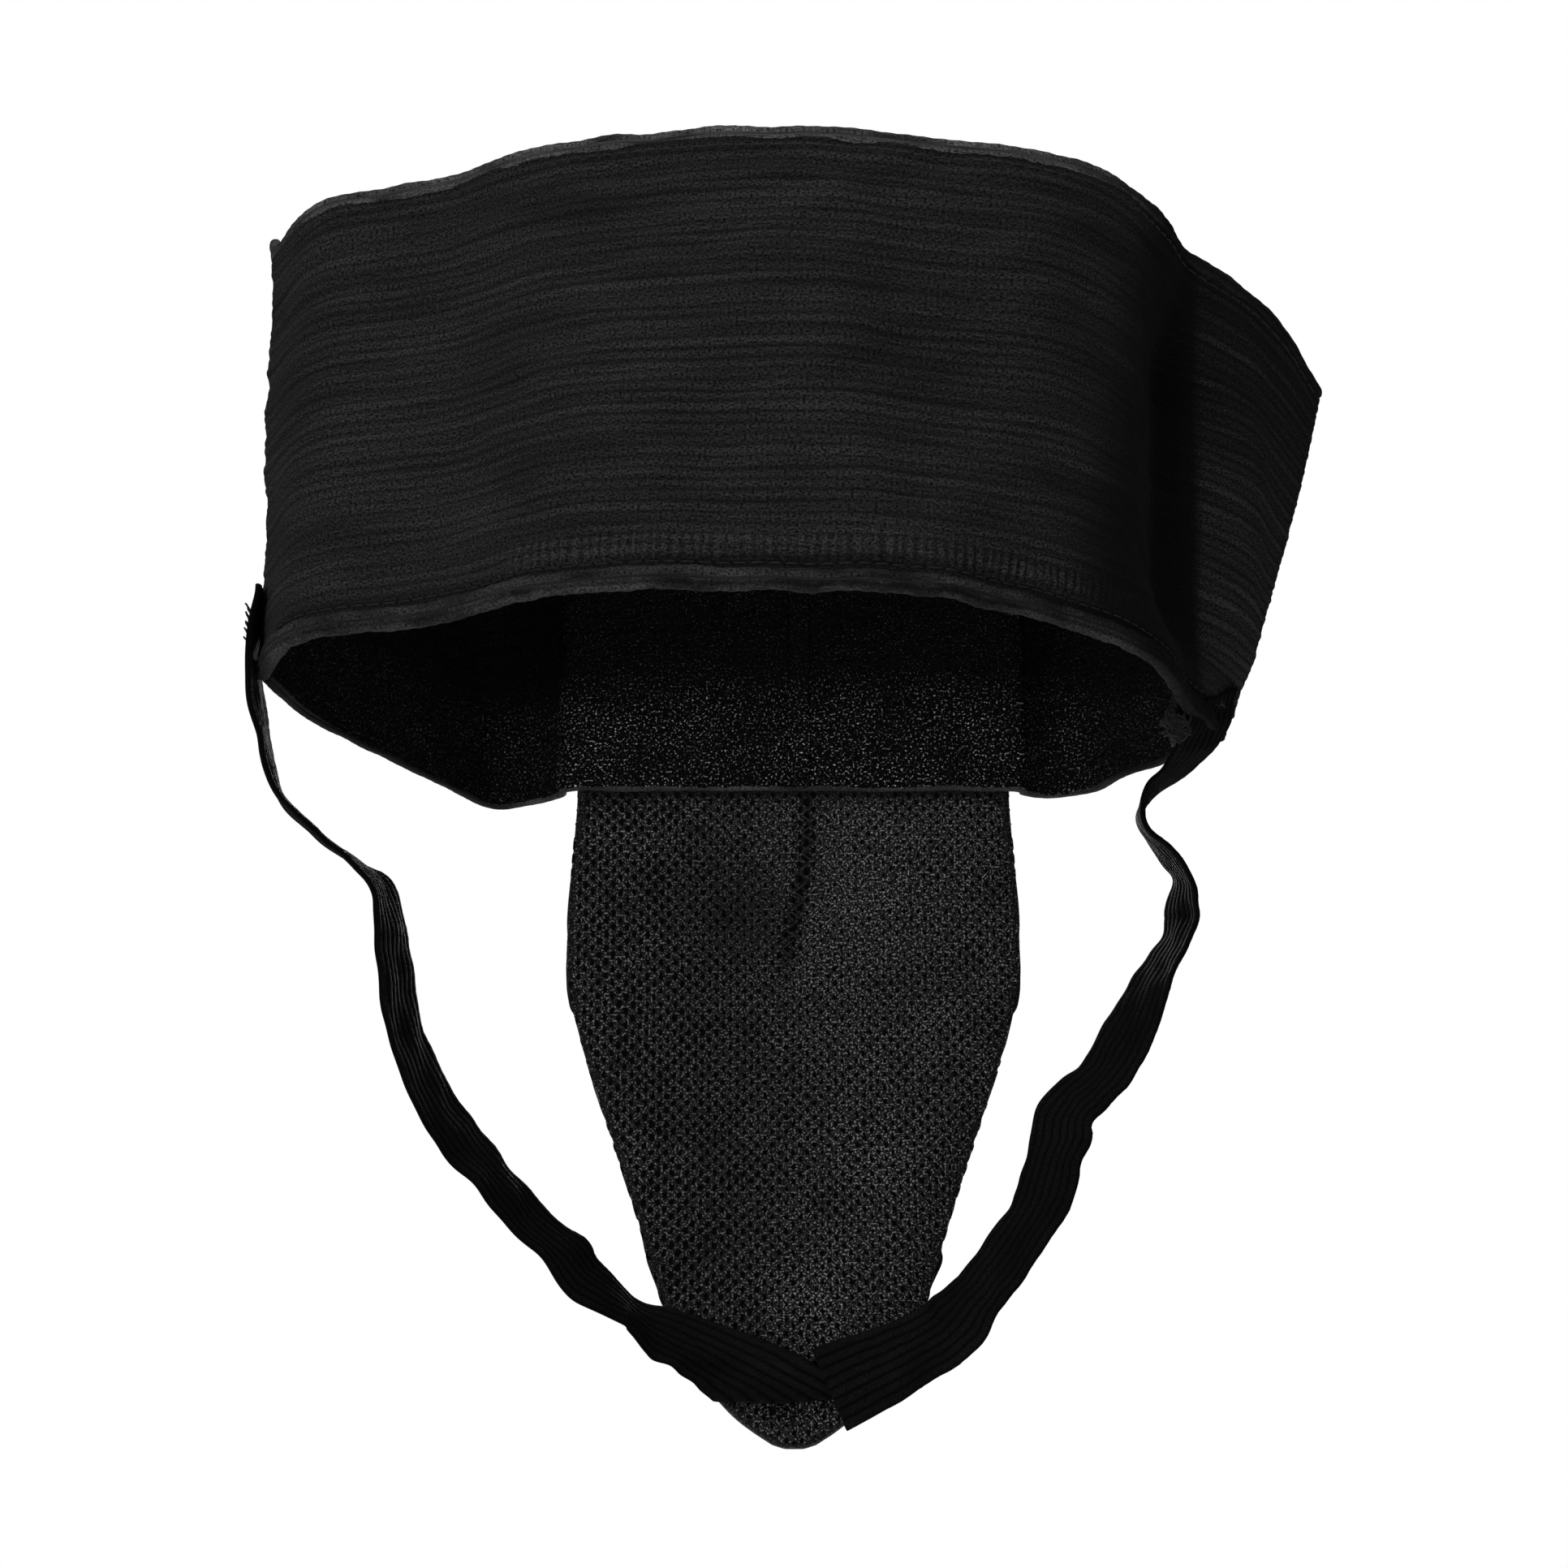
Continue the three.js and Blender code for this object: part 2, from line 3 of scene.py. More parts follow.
import bmesh
import bpy
import numpy as np
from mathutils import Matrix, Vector


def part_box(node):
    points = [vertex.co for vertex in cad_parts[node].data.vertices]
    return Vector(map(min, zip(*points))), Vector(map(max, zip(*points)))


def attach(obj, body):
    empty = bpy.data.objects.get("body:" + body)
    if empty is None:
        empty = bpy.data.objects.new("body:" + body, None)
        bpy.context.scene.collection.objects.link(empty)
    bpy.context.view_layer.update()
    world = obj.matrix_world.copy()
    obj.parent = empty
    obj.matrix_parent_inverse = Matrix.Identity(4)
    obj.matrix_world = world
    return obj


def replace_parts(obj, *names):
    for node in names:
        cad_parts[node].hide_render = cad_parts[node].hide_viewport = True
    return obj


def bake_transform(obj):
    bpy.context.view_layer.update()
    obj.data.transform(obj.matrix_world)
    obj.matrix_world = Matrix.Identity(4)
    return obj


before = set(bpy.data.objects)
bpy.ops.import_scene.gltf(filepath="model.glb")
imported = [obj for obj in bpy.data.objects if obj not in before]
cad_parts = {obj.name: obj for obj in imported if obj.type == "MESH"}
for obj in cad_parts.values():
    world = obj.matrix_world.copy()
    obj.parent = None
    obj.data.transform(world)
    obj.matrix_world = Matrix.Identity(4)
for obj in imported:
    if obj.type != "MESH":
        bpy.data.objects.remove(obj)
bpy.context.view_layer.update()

MM = 0.001

# ---------------------------------------------------------------- numbers that shape the cloth
LEAN_POWER = 0.75  # how the band leans from its lower line to its upper one
ELASTIC_HALF = 0.9 * MM
RIB_PITCH = 2.35 * MM
RIB_DEPTH = 0.26 * MM
WELT_TOP = 5.2 * MM
HEM_THICK = 2.5 * MM
COVER_ROWS = 200
COVER_COLUMNS = 190
STRAP_RIBS = 8
TUCK = 0.93  # size of the hidden fillings beside their CAD pieces, so that they stay inside the cover
# Both edges of the right strap where it leaves the band, in mm from the waist's middle.
RIGHT_STRAP_TOP = [
    ((-92, -12, 3.5), (-104, -33, 13.5)),
    ((-89, -12, -2), (-101, -32, 4)),
    ((-86, -14, -8), (-96, -33, -3)),
    ((-83, -16, -12), (-90, -35, -8)),
    ((-80, -18, -15.5), (-85, -37, -11)),
    ((-79, -20, -19), (-82.5, -39, -14)),
    ((-80, -21.5, -23), (-81.5, -41, -17.5)),
    ((-86, -23.5, -28), (-85.5, -42.5, -24)),
    ((-91, -26, -34), (-89, -44, -30)),
]
MESH_HALF_CELL = (1.7 * MM, 1.75 * MM)  # half a hole's share of the mesh, across and upright
# Rings round a hole of the mesh: (size as a share of the cell, roundness, lift)
MESH_RINGS = [(1.0, 0.0, 0.10 * MM), (0.78, 0.5, 0.11 * MM), (0.60, 0.9, -0.02 * MM), (0.50, 1.0, -0.6 * MM)]

# The middle of the waist opening, level with the band's lower edge. Most places below are measured from it.
WAIST = np.array([0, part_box("front_facing")[0].y + 78.45 * MM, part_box("back_bottom_welt")[0].z])


# ---------------------------------------------------------------- numbers and curves
def smooth(value, low, high):
    """0 below low, 1 above high, and smooth between."""
    t = np.clip((value - low) / (high - low), 0, 1)
    return t * t * (3 - 2 * t)


def bell(value, middle, width):
    return np.exp(-(((value - middle) / width) ** 2))


def ripple(a, b, size, seed, waves=14):
    """Smooth noise of about -1 to 1 over two coordinates, with features of the given size."""
    rng = np.random.default_rng(seed)
    total = 0.0
    for _ in range(waves):
        angle = rng.uniform(0, 2 * math.pi)
        number = 2 * math.pi / (size * rng.uniform(0.7, 1.6))
        phase = rng.uniform(0, 2 * math.pi)
        total = total + np.sin(number * (a * math.cos(angle) + b * math.sin(angle)) + phase)
    return total / math.sqrt(waves)


def ridge(turns):
    """A row of round ridges with narrow grooves between them, one to each turn."""
    place = 2 * (turns - np.floor(turns)) - 1
    return np.sqrt(np.maximum(1 - place * place, 0))


def spline(points, places):
    """Catmull-Rom curve through the points, at fractional places along them."""
    padded = np.vstack([2 * points[:1] - points[1:2], points, 2 * points[-1:] - points[-2:-1]])
    first = np.clip(places.astype(int), 0, len(points) - 2)
    t = (places - first)[:, None]
    a, b, c, d = (padded[first + k] for k in range(4))
    return 0.5 * (2 * b + (c - a) * t + (2 * a - 5 * b + 4 * c - d) * t**2 + (3 * b - a - 3 * c + d) * t**3)


def distances(line):
    """Distance of each point of a line from its start, along the line."""
    return np.concatenate([[0], np.cumsum(np.linalg.norm(np.diff(line, axis=0), axis=1))])


def even_places(line, step):
    """Places along a line that are evenly spaced by about step, and their distances from its start."""
    places = np.linspace(0, len(line) - 1, 40 * len(line))
    distance = distances(spline(line, places))
    count = int(distance[-1] / step) + 2
    wanted = np.linspace(0, distance[-1], count)
    return np.interp(wanted, distance, places), wanted


def unit(vectors):
    return vectors / np.maximum(np.linalg.norm(vectors, axis=-1, keepdims=True), 1e-12)


# ---------------------------------------------------------------- lines of the CAD pieces
def corners(name):
    """The different corners of a CAD node."""
    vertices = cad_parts[name].data.vertices
    places = np.empty(len(vertices) * 3)
    vertices.foreach_get("co", places)
    return np.unique(np.round(places.reshape(-1, 3), 5), axis=0)


def middles(points, thickness=0.0):
    """Halves the corners of a thin sheet: the points midway between its two faces."""
    apart = np.linalg.norm(points[:, None] - points[None], axis=2)
    np.fill_diagonal(apart, np.inf)
    partner = np.abs(apart - thickness).argmin(axis=1)
    mutual = partner[partner] == np.arange(len(points))
    halfway = (points[mutual] + points[partner[mutual]]) / 2
    return np.unique(np.round(halfway, 6), axis=0)


def chain(points, start, count):
    """Walks over count points from the one nearest to start: near points first, those ahead before others."""
    left = np.ones(len(points), bool)
    here = int(np.linalg.norm(points - start, axis=1).argmin())
    line = [points[here]]
    way = np.zeros(3)
    for _ in range(count - 1):
        left[here] = False
        step = points - line[-1]
        far = np.linalg.norm(step, axis=1)
        turning = 1.6 - unit(step) @ way
        here = int(np.where(left, far * turning, np.inf).argmin())
        line.append(points[here])
        way = unit(step[here])
    return np.array(line)


def level_line(name, height):
    """The middle line of a standing wall at one of its levels, from its left end."""
    points = corners(name)
    level = middles(points[np.abs(points[:, 2] - height) < 1e-4])
    return chain(level, level[(level[:, 0] + 0.2 * level[:, 1]).argmax()], len(level))


class Wall:
    """A band that stands on a line and leans: a point for each place along it and each height."""

    def __init__(self, bottom, top):
        self.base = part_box(bottom)[0].z
        self.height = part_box(top)[1].z - self.base
        self.lower = level_line(bottom, self.base)
        self.upper = level_line(top, self.base + self.height)

    def length(self):
        return np.linalg.norm(np.diff(self.lower, axis=0), axis=1).sum()

    def grid(self, heights, step):
        """(points, outward directions, distance along, height) on a grid, rows along the band."""
        places, along = even_places(self.lower, step)
        low = spline(self.lower, places)[:, None]
        high = spline(self.upper, places)[:, None]
        share = (np.maximum(heights, 0) / self.height) ** LEAN_POWER
        points = low + (high - low) * share[None, :, None]
        points[..., 2] = self.base + heights[None]
        run = np.gradient(points, axis=0)
        outward = unit(np.stack([run[..., 1], -run[..., 0], 0 * run[..., 0]], axis=2))
        if (outward * (points - WAIST)).sum() < 0:
            outward = -outward
        u, z = np.meshgrid(along, heights, indexing="ij")
        return points, outward, u, z


# ---------------------------------------------------------------- meshes
def make_object(name, points, faces, uv, materials, face_slots=None, painted_shade=None):
    """A mesh object with cloth coordinates, and painted shade and light that darken or lighten its cloth
    point by point.
    """
    mesh = bpy.data.meshes.new(name)
    mesh.from_pydata(points.tolist(), [], [list(face) for face in faces])
    for material in materials:
        mesh.materials.append(material)
    layer = mesh.uv_layers.new(name="cloth")
    loops = np.empty(len(mesh.loops), dtype=np.int32)
    mesh.loops.foreach_get("vertex_index", loops)
    layer.data.foreach_set("uv", uv[loops].astype(np.float32).ravel())
    shades = np.ones(len(points)) if painted_shade is None else painted_shade
    mesh.attributes.new("painted_shade", "FLOAT", "POINT").data.foreach_set("value", shades.astype(np.float32))
    if face_slots is not None:
        mesh.polygons.foreach_set("material_index", face_slots.astype(np.int32))
    mesh.shade_smooth()
    mesh.validate()
    obj = bpy.data.objects.new(name, mesh)
    bpy.context.scene.collection.objects.link(obj)
    return obj


def sheet(name, outer, inner, uv, materials, painted_shades=None):
    """A closed sheet between two grids of points. Its inner face takes the last material."""
    rows, columns = outer.shape[:2]
    number = np.arange(rows * columns).reshape(rows, columns)
    back = number + rows * columns

    def quads(a, b, c, d):
        return np.stack([a.ravel(), b.ravel(), c.ravel(), d.ravel()], axis=1)

    front_faces = quads(number[:-1, :-1], number[1:, :-1], number[1:, 1:], number[:-1, 1:])
    back_faces = quads(back[:-1, :-1], back[:-1, 1:], back[1:, 1:], back[1:, :-1])
    rims = [
        quads(number[:-1, 0], back[:-1, 0], back[1:, 0], number[1:, 0]),
        quads(number[:-1, -1], number[1:, -1], back[1:, -1], back[:-1, -1]),
        quads(number[0, :-1], number[0, 1:], back[0, 1:], back[0, :-1]),
        quads(number[-1, :-1], back[-1, :-1], back[-1, 1:], number[-1, 1:]),
    ]
    rim_faces = np.vstack(rims)
    faces = np.vstack([front_faces, rim_faces, back_faces])
    slots = np.zeros(len(faces))
    slots[len(front_faces) + len(rim_faces):] = len(materials) - 1
    points = np.vstack([outer.reshape(-1, 3), inner.reshape(-1, 3)])
    flat_uv = uv.reshape(-1, 2)
    # painted shade and light for the outer and the inner face
    painted_shade = None if painted_shades is None else np.concatenate([side.ravel() for side in painted_shades])
    obj = make_object(name, points, faces, np.vstack([flat_uv, flat_uv]), materials, slots, painted_shade)
    face_outwards(obj)
    return obj


def tube_points(path, side, radius, sides=8):
    """Rings round a path: side is a direction across it, radius may change along it."""
    run = unit(np.gradient(path, axis=0))
    across = unit(side - run * (side * run).sum(axis=1, keepdims=True))
    third = np.cross(run, across)
    angle = np.linspace(0, 2 * math.pi, sides, endpoint=False)
    radius = np.broadcast_to(radius, (len(path),))[:, None, None]
    ring = across[:, None] * np.cos(angle)[None, :, None] + third[:, None] * np.sin(angle)[None, :, None]
    return path[:, None] + ring * radius


def tubes(name, paths, materials, radius, side=(0, 0, 1), sides=6):
    """Many closed threads as one object."""
    all_points, all_faces, all_uv, start = [], [], [], 0
    for path in paths:
        path = np.asarray(path, float)
        rings = tube_points(path, np.broadcast_to(np.asarray(side, float), path.shape), radius, sides)
        count = len(path)
        number = start + np.arange(count * sides).reshape(count, sides)
        turned = np.roll(number, -1, axis=1)
        walls = np.stack([number[:-1], turned[:-1], turned[1:], number[1:]], axis=2).reshape(-1, 4)
        ends = start + count * sides
        cap_a = np.stack([np.full(sides, ends), turned[0], number[0]], axis=1)
        cap_b = np.stack([np.full(sides, ends + 1), number[-1], turned[-1]], axis=1)
        all_points.append(np.vstack([rings.reshape(-1, 3), path[:1], path[-1:]]))
        all_faces += walls.tolist() + cap_a.tolist() + cap_b.tolist()
        grid_uv = np.meshgrid(distances(path), np.arange(sides) * MM, indexing="ij")
        ring_uv = np.stack(grid_uv, axis=2).reshape(-1, 2)
        all_uv.append(np.vstack([ring_uv, ring_uv[:1], ring_uv[-1:]]))
        start += count * sides + 2
    return make_object(name, np.vstack(all_points), all_faces, np.vstack(all_uv), materials)


# ---------------------------------------------------------------- material building
def node(tree, kind, inputs=None, **settings):
    made = tree.nodes.new(kind)
    for key, value in settings.items():
        setattr(made, key, value)
    for key, value in (inputs or {}).items():
        if isinstance(value, bpy.types.NodeSocket):
            tree.links.new(value, made.inputs[key])
        else:
            made.inputs[key].default_value = value
    return made


def maths(tree, operation, a, b=0.0, c=0.0):
    return node(tree, "ShaderNodeMath", {0: a, 1: b, 2: c}, operation=operation).outputs[0]


def noise(tree, where, size, stretch=(1, 1, 1), detail=2.0):
    """Noise from 0 to 1 with features of about the given size in metres, longer along stretched axes."""
    scale = [1 / (size * part) for part in stretch]
    moved = node(tree, "ShaderNodeMapping", {"Vector": where, "Scale": scale})
    made = node(tree, "ShaderNodeTexNoise", {"Vector": moved.outputs[0], "Scale": 1.0, "Detail": detail})
    return made.outputs["Fac"]


def cells(tree, where, size):
    """Distance from the middle of the nearest of many irregular cells of about the given size."""
    moved = node(tree, "ShaderNodeMapping", {"Vector": where, "Scale": [1 / size] * 3})
    inputs = {"Vector": moved.outputs[0], "Scale": 1.0}
    return node(tree, "ShaderNodeTexVoronoi", inputs, voronoi_dimensions="2D").outputs["Distance"]


def remap(tree, value, low, high, to_low=0.0, to_high=1.0):
    inputs = {"Value": value, "From Min": low, "From Max": high, "To Min": to_low, "To Max": to_high}
    return node(tree, "ShaderNodeMapRange", inputs, clamp=True).outputs[0]


def grey_mix(tree, factor, dark, light):
    """A near-neutral colour between two greys, both a touch cool."""
    mix = tree.nodes.new("ShaderNodeMix")
    mix.data_type = "RGBA"
    tree.links.new(factor, mix.inputs[0])
    mix.inputs[6].default_value = (dark, dark, dark * 1.03, 1)
    mix.inputs[7].default_value = (light, light * 0.995, light * 1.02, 1)
    return mix.outputs[2]


class Cloth:
    """A procedural fabric. Its cloth coordinates are metres along and across the piece."""

    def __init__(self, name, roughness=0.85, specular=0.35, sheen=0.0):
        self.material = bpy.data.materials.new(name)
        self.material.use_nodes = True
        self.tree = self.material.node_tree
        self.shader = self.tree.nodes["Principled BSDF"]
        self.shader.inputs["Roughness"].default_value = roughness
        self.shader.inputs["Specular IOR Level"].default_value = specular
        self.shader.inputs["Sheen Weight"].default_value = sheen
        self.shader.inputs["Sheen Roughness"].default_value = 0.5
        self.where = node(self.tree, "ShaderNodeUVMap", uv_map="cloth").outputs[0]
        parts = node(self.tree, "ShaderNodeSeparateXYZ", {0: self.where})
        self.along, self.across = parts.outputs[0], parts.outputs[1]
        # painted shade and light: a per-point attribute that multiplies the colour of the cloths that use it
        self.painted_shade = node(self.tree, "ShaderNodeAttribute", attribute_name="painted_shade").outputs["Fac"]

    def finish(self, colour_factor, dark, light, height, bump_depth):
        """Gives the shader its colour, from dark to light, and its bump, and returns the material."""
        tree = self.tree
        tree.links.new(grey_mix(tree, colour_factor, dark, light), self.shader.inputs["Base Color"])
        bump = node(tree, "ShaderNodeBump", {"Height": height, "Distance": bump_depth, "Strength": 1.0})
        tree.links.new(bump.outputs[0], self.shader.inputs["Normal"])
        return self.material


def cord_wave(cloth, value, pitch):
    """1 on the crown of each cord and 0 in the groove between cords."""
    turns = maths(cloth.tree, "MULTIPLY", value, math.pi / pitch)
    return maths(cloth.tree, "ABSOLUTE", maths(cloth.tree, "SINE", turns))


def elastic_cloth(name, dark=0.002, light=0.063, pitch=RIB_PITCH):
    """Ribbed knitted elastic: cords along the band with painted shade in the grooves between them, and a fine
    grain of loops.
    """
    cloth = Cloth(name, roughness=0.8, specular=0.12, sheen=0.02)
    tree = cloth.tree
    # painted shade in the grooves between the cords
    grooves = remap(tree, cord_wave(cloth, cloth.across, pitch), 0.05, 0.75, 0.55, 1.0)
    grain = noise(tree, cloth.where, 0.45 * MM, (1.3, 1, 1), detail=3)
    rows = remap(tree, noise(tree, cloth.where, 2.0 * MM, (30, 1, 1), detail=2), 0.32, 0.68, 0.5, 1.25)
    patches = remap(tree, noise(tree, cloth.where, 15 * MM, (2, 1, 1), detail=2), 0.3, 0.7, 0.75, 1.15)
    shade = maths(tree, "MULTIPLY", remap(tree, grain, 0.37, 0.65, 0.0, 1.0), grooves)
    shade = maths(tree, "MULTIPLY", maths(tree, "MULTIPLY", shade, rows), patches)
    return cloth.finish(maths(tree, "MULTIPLY", shade, cloth.painted_shade), dark, light, grain, 0.4 * MM)


def hem_cloth(name, dark, light):
    """Folded edge binding: plain and matt, with lighter worn patches."""
    cloth = Cloth(name, roughness=0.75, specular=0.08, sheen=0.01)
    tree = cloth.tree
    threads = noise(tree, cloth.where, 0.40 * MM, (1.6, 1, 1), detail=3)
    patches = noise(tree, cloth.where, 5 * MM, (3, 1, 1), detail=3)
    worn = remap(tree, patches, 0.35, 0.68, 0.25, 1.3)
    shade = maths(tree, "MULTIPLY", remap(tree, threads, 0.33, 0.67), worn)
    return cloth.finish(maths(tree, "MULTIPLY", shade, cloth.painted_shade), dark, light, threads, 0.25 * MM)


def plush_cloth(name, dark=0.0003, light=0.95, sparse=0.57):
    """Brushed loop lining: dark pile whose single loops carry painted glints."""
    cloth = Cloth(name, roughness=0.75, specular=0.08)
    tree = cloth.tree
    loops = noise(tree, cloth.where, 0.60 * MM, detail=1)
    fibres = noise(tree, cloth.where, 0.26 * MM, detail=1)
    patches = noise(tree, cloth.where, 12 * MM, detail=2)
    mixed = maths(tree, "ADD", maths(tree, "MULTIPLY", loops, 0.7), maths(tree, "MULTIPLY", fibres, 0.3))
    # painted glints on single loops of the pile
    bright = maths(tree, "POWER", remap(tree, mixed, sparse, sparse + 0.12), 1.6)
    shade = maths(tree, "MULTIPLY", bright, remap(tree, patches, 0.3, 0.7, 0.35, 1.1))
    height = maths(tree, "ADD", loops, maths(tree, "MULTIPLY", fibres, 0.5))
    return cloth.finish(maths(tree, "MULTIPLY", shade, cloth.painted_shade), dark, light, height, 0.5 * MM)


def net_cloth(name="air_mesh", light=0.46):
    """Warp-knitted air mesh: fine loops with painted glints on a dark ground."""
    cloth = Cloth(name, roughness=0.5, specular=0.15)
    tree = cloth.tree
    loops = noise(tree, cloth.where, 0.50 * MM, (1, 1.3, 1), detail=1)
    # painted glints: sparse bright specks for light caught by the fibres
    painted_glints = remap(tree, noise(tree, cloth.where, 0.52 * MM, detail=1), 0.565, 0.65)
    patches = remap(tree, noise(tree, cloth.where, 17 * MM, detail=2), 0.35, 0.65, 0.8, 1.1)
    body = maths(tree, "MULTIPLY", maths(tree, "POWER", remap(tree, loops, 0.46, 0.70), 1.8), 0.12)
    shade = maths(tree, "MULTIPLY", maths(tree, "ADD", body, maths(tree, "MULTIPLY", painted_glints, 0.7)), patches)
    return cloth.finish(maths(tree, "MULTIPLY", shade, cloth.painted_shade), 0.001, light, loops, 0.5 * MM)


def web_cloth():
    """Elastic webbing: smooth cords along the strap with painted shade between them, covered with fine cross
    threads.
    """
    cloth = Cloth("strap_webbing", roughness=0.75, specular=0.06, sheen=0.01)
    tree = cloth.tree
    turns = maths(tree, "ADD", cloth.across, 10 * MM)
    # painted shade in the grooves between the cords
    grooves = remap(tree, cord_wave(cloth, turns, 20 * MM / STRAP_RIBS), 0.1, 0.8, 0.15, 1.0)
    cross = noise(tree, cloth.where, 0.36 * MM, (1, 3, 1), detail=2)
    patches = noise(tree, cloth.where, 14 * MM, detail=2)
    shade = maths(tree, "MULTIPLY", remap(tree, cross, 0.3, 0.7, 0.2, 1.0), grooves)
    shade = maths(tree, "MULTIPLY", shade, remap(tree, patches, 0.35, 0.65, 0.6, 1.1))
    return cloth.finish(maths(tree, "MULTIPLY", shade, cloth.painted_shade), 0.0006, 0.013, cross, 0.2 * MM)


def cover_cloth():
    """Brushed woven polyester over the padding, with a fine twill."""
    cloth = Cloth("pouch_cover", roughness=0.82, specular=0.3, sheen=0.06)
    tree = cloth.tree
    slant = maths(tree, "ADD", cloth.along, maths(tree, "MULTIPLY", cloth.across, 0.8))
    twill = cord_wave(cloth, slant, 0.9 * MM)
    nap = noise(tree, cloth.where, 0.5 * MM, detail=3)
    patches = noise(tree, cloth.where, 20 * MM, detail=2)
    shade = maths(tree, "MULTIPLY", remap(tree, nap, 0.3, 0.7), remap(tree, patches, 0.3, 0.7, 0.6, 1.1))
    height = maths(tree, "ADD", maths(tree, "MULTIPLY", twill, 0.5), nap)
    return cloth.finish(shade, 0.006, 0.026, height, 0.3 * MM)


def facing_cloth():
    """Plain woven facing, with painted shade between its threads."""
    cloth = Cloth("woven_facing", roughness=0.85, specular=0.3)
    tree = cloth.tree
    warp = cord_wave(cloth, cloth.along, 0.7 * MM)
    weft = cord_wave(cloth, cloth.across, 0.7 * MM)
    nap = noise(tree, cloth.where, 0.6 * MM, detail=2)
    weave = maths(tree, "MULTIPLY", warp, weft)
    # painted shade where the threads dip between crossings
    shade = maths(tree, "MULTIPLY", remap(tree, nap, 0.3, 0.7), remap(tree, weave, 0.0, 0.8, 0.4, 1.0))
    return cloth.finish(shade, 0.005, 0.022, maths(tree, "ADD", weave, nap), 0.22 * MM)


def thread_cloth(name, dark, light):
    """Spun sewing thread with a slanting twist, with painted shade in the twist's grooves."""
    cloth = Cloth(name, roughness=0.6, specular=0.45, sheen=0.05)
    tree = cloth.tree
    twist = cord_wave(cloth, maths(tree, "ADD", cloth.along, cloth.across), 0.5 * MM)
    fluff = noise(tree, cloth.where, 0.3 * MM, detail=2)
    fuzz = remap(tree, fluff, 0.3, 0.7, 0.5, 1.0)
    # painted shade in the grooves of the twist
    shade = maths(tree, "MULTIPLY", remap(tree, twist, 0, 1, 0.4, 1.0), fuzz)
    return cloth.finish(shade, dark, light, twist, 0.1 * MM)


# ---------------------------------------------------------------- waistband
def placed(obj, body, slot, *nodes):
    """A piece that rides on one body."""
    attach(obj, body)
    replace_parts(obj, *nodes)
    return obj


def stretched(obj, slot, *nodes):
    """A piece of the back band, baked in place; the CAD pieces it stands for are hidden."""
    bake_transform(obj)
    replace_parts(obj, *nodes)
    return obj


def back_relief(points, height):
    """How far the back panel stands out from its plain shape: soft waves, and the deep fold at its right."""
    x = points[..., 0]
    waves = 1.1 * MM * ripple(x, 0.6 * height, 48 * MM, seed=3)
    waves += 0.35 * MM * ripple(x, 2.5 * height, 16 * MM, seed=4)
    fold_place = -91 * MM
    reach = np.where(x > fold_place, 16 * MM + 7 * MM * smooth(60 * MM - height, 0, 60 * MM), 17 * MM)
    away = np.sqrt((x - fold_place) ** 2 + (1.5 * MM) ** 2) / reach
    valley = np.clip(1.08 - away, 0, 1) ** 1.35
    depth = 4 * MM + 9.5 * MM * smooth(height, 4 * MM, 25 * MM) * smooth(100 * MM - height, 0, 30 * MM)
    fade = smooth(x, -130 * MM, -112 * MM)
    return waves * smooth(x, -130 * MM, -100 * MM) - depth * valley * fade


def shifted_left_end(points):
    """At the left seam the back panel bulges outwards a little and laps over the front panel's end."""
    share = smooth(points[..., 0], 100 * MM, 116 * MM)
    return points + share[..., None] * np.array([1.0 * MM, -1.8 * MM, 0])


def cords(height, wobble=0.0):
    """Outward relief of the knitted cords; every second groove is deeper."""
    turns = (height + wobble) / RIB_PITCH
    deep = 0.75 + 0.25 * np.cos(math.pi * (turns - 0.5))
    return RIB_DEPTH * ridge(turns) * deep


def gathered(x, height):
    """1 where the elastic is drawn in above the welt, 0 elsewhere."""
    where = smooth(x, -76 * MM, -52 * MM) * smooth(70 * MM - x, 0, 24 * MM)
    return where * smooth(height, 5.6 * MM, 7 * MM) * smooth(14 * MM - height, 0, 4 * MM)


def gathers(zone, along, height):
    """Short upright pleats in the gathered zone."""
    wobble = 0.35 * MM * ripple(along, 0.3 * height, 6 * MM, seed=8)
    strength = 0.9 + 0.15 * ripple(along, 0 * height, 9 * MM, seed=9)
    return 0.45 * MM * zone * strength * np.sin(2 * math.pi * (along + wobble) / (2.1 * MM))


def painted_knit_shade(x, height, zone, pleats, cord):
    """Painted light on the back knit: painted shadow in the fold, painted shade in the crease over the welt
    and in the cord grooves, painted highlights on the pleats and on the lit part past the fold.
    """
    fold_edge = -62 * MM - 0.2 * height
    beyond = smooth(-90.5 * MM - x, 0, 4 * MM)
    shadow = smooth(fold_edge - x, -12 * MM, 3 * MM) * (1 - beyond)
    # painted highlight past the fold, stronger low down
    lit = 0.8 + 1.6 * smooth(85 * MM - height, 0, 70 * MM)
    # painted shade in the crease just above the welt
    seam = 0.75 * bell(height, 5.9 * MM, 0.8 * MM)
    # painted shade in the grooves between the cords, deeper past the fold
    groove = (0.15 + 0.7 * beyond) * (1 - cord / cord.max())
    # painted highlight on the gathered zone and on the pleats' crowns
    pleat_highlight = 1 + 0.3 * zone + 1.4 * pleats / MM
    return (1 - 0.9 * shadow) * (1 + beyond * (lit - 1)) * (1 - seam) * pleat_highlight * (1 - groove)


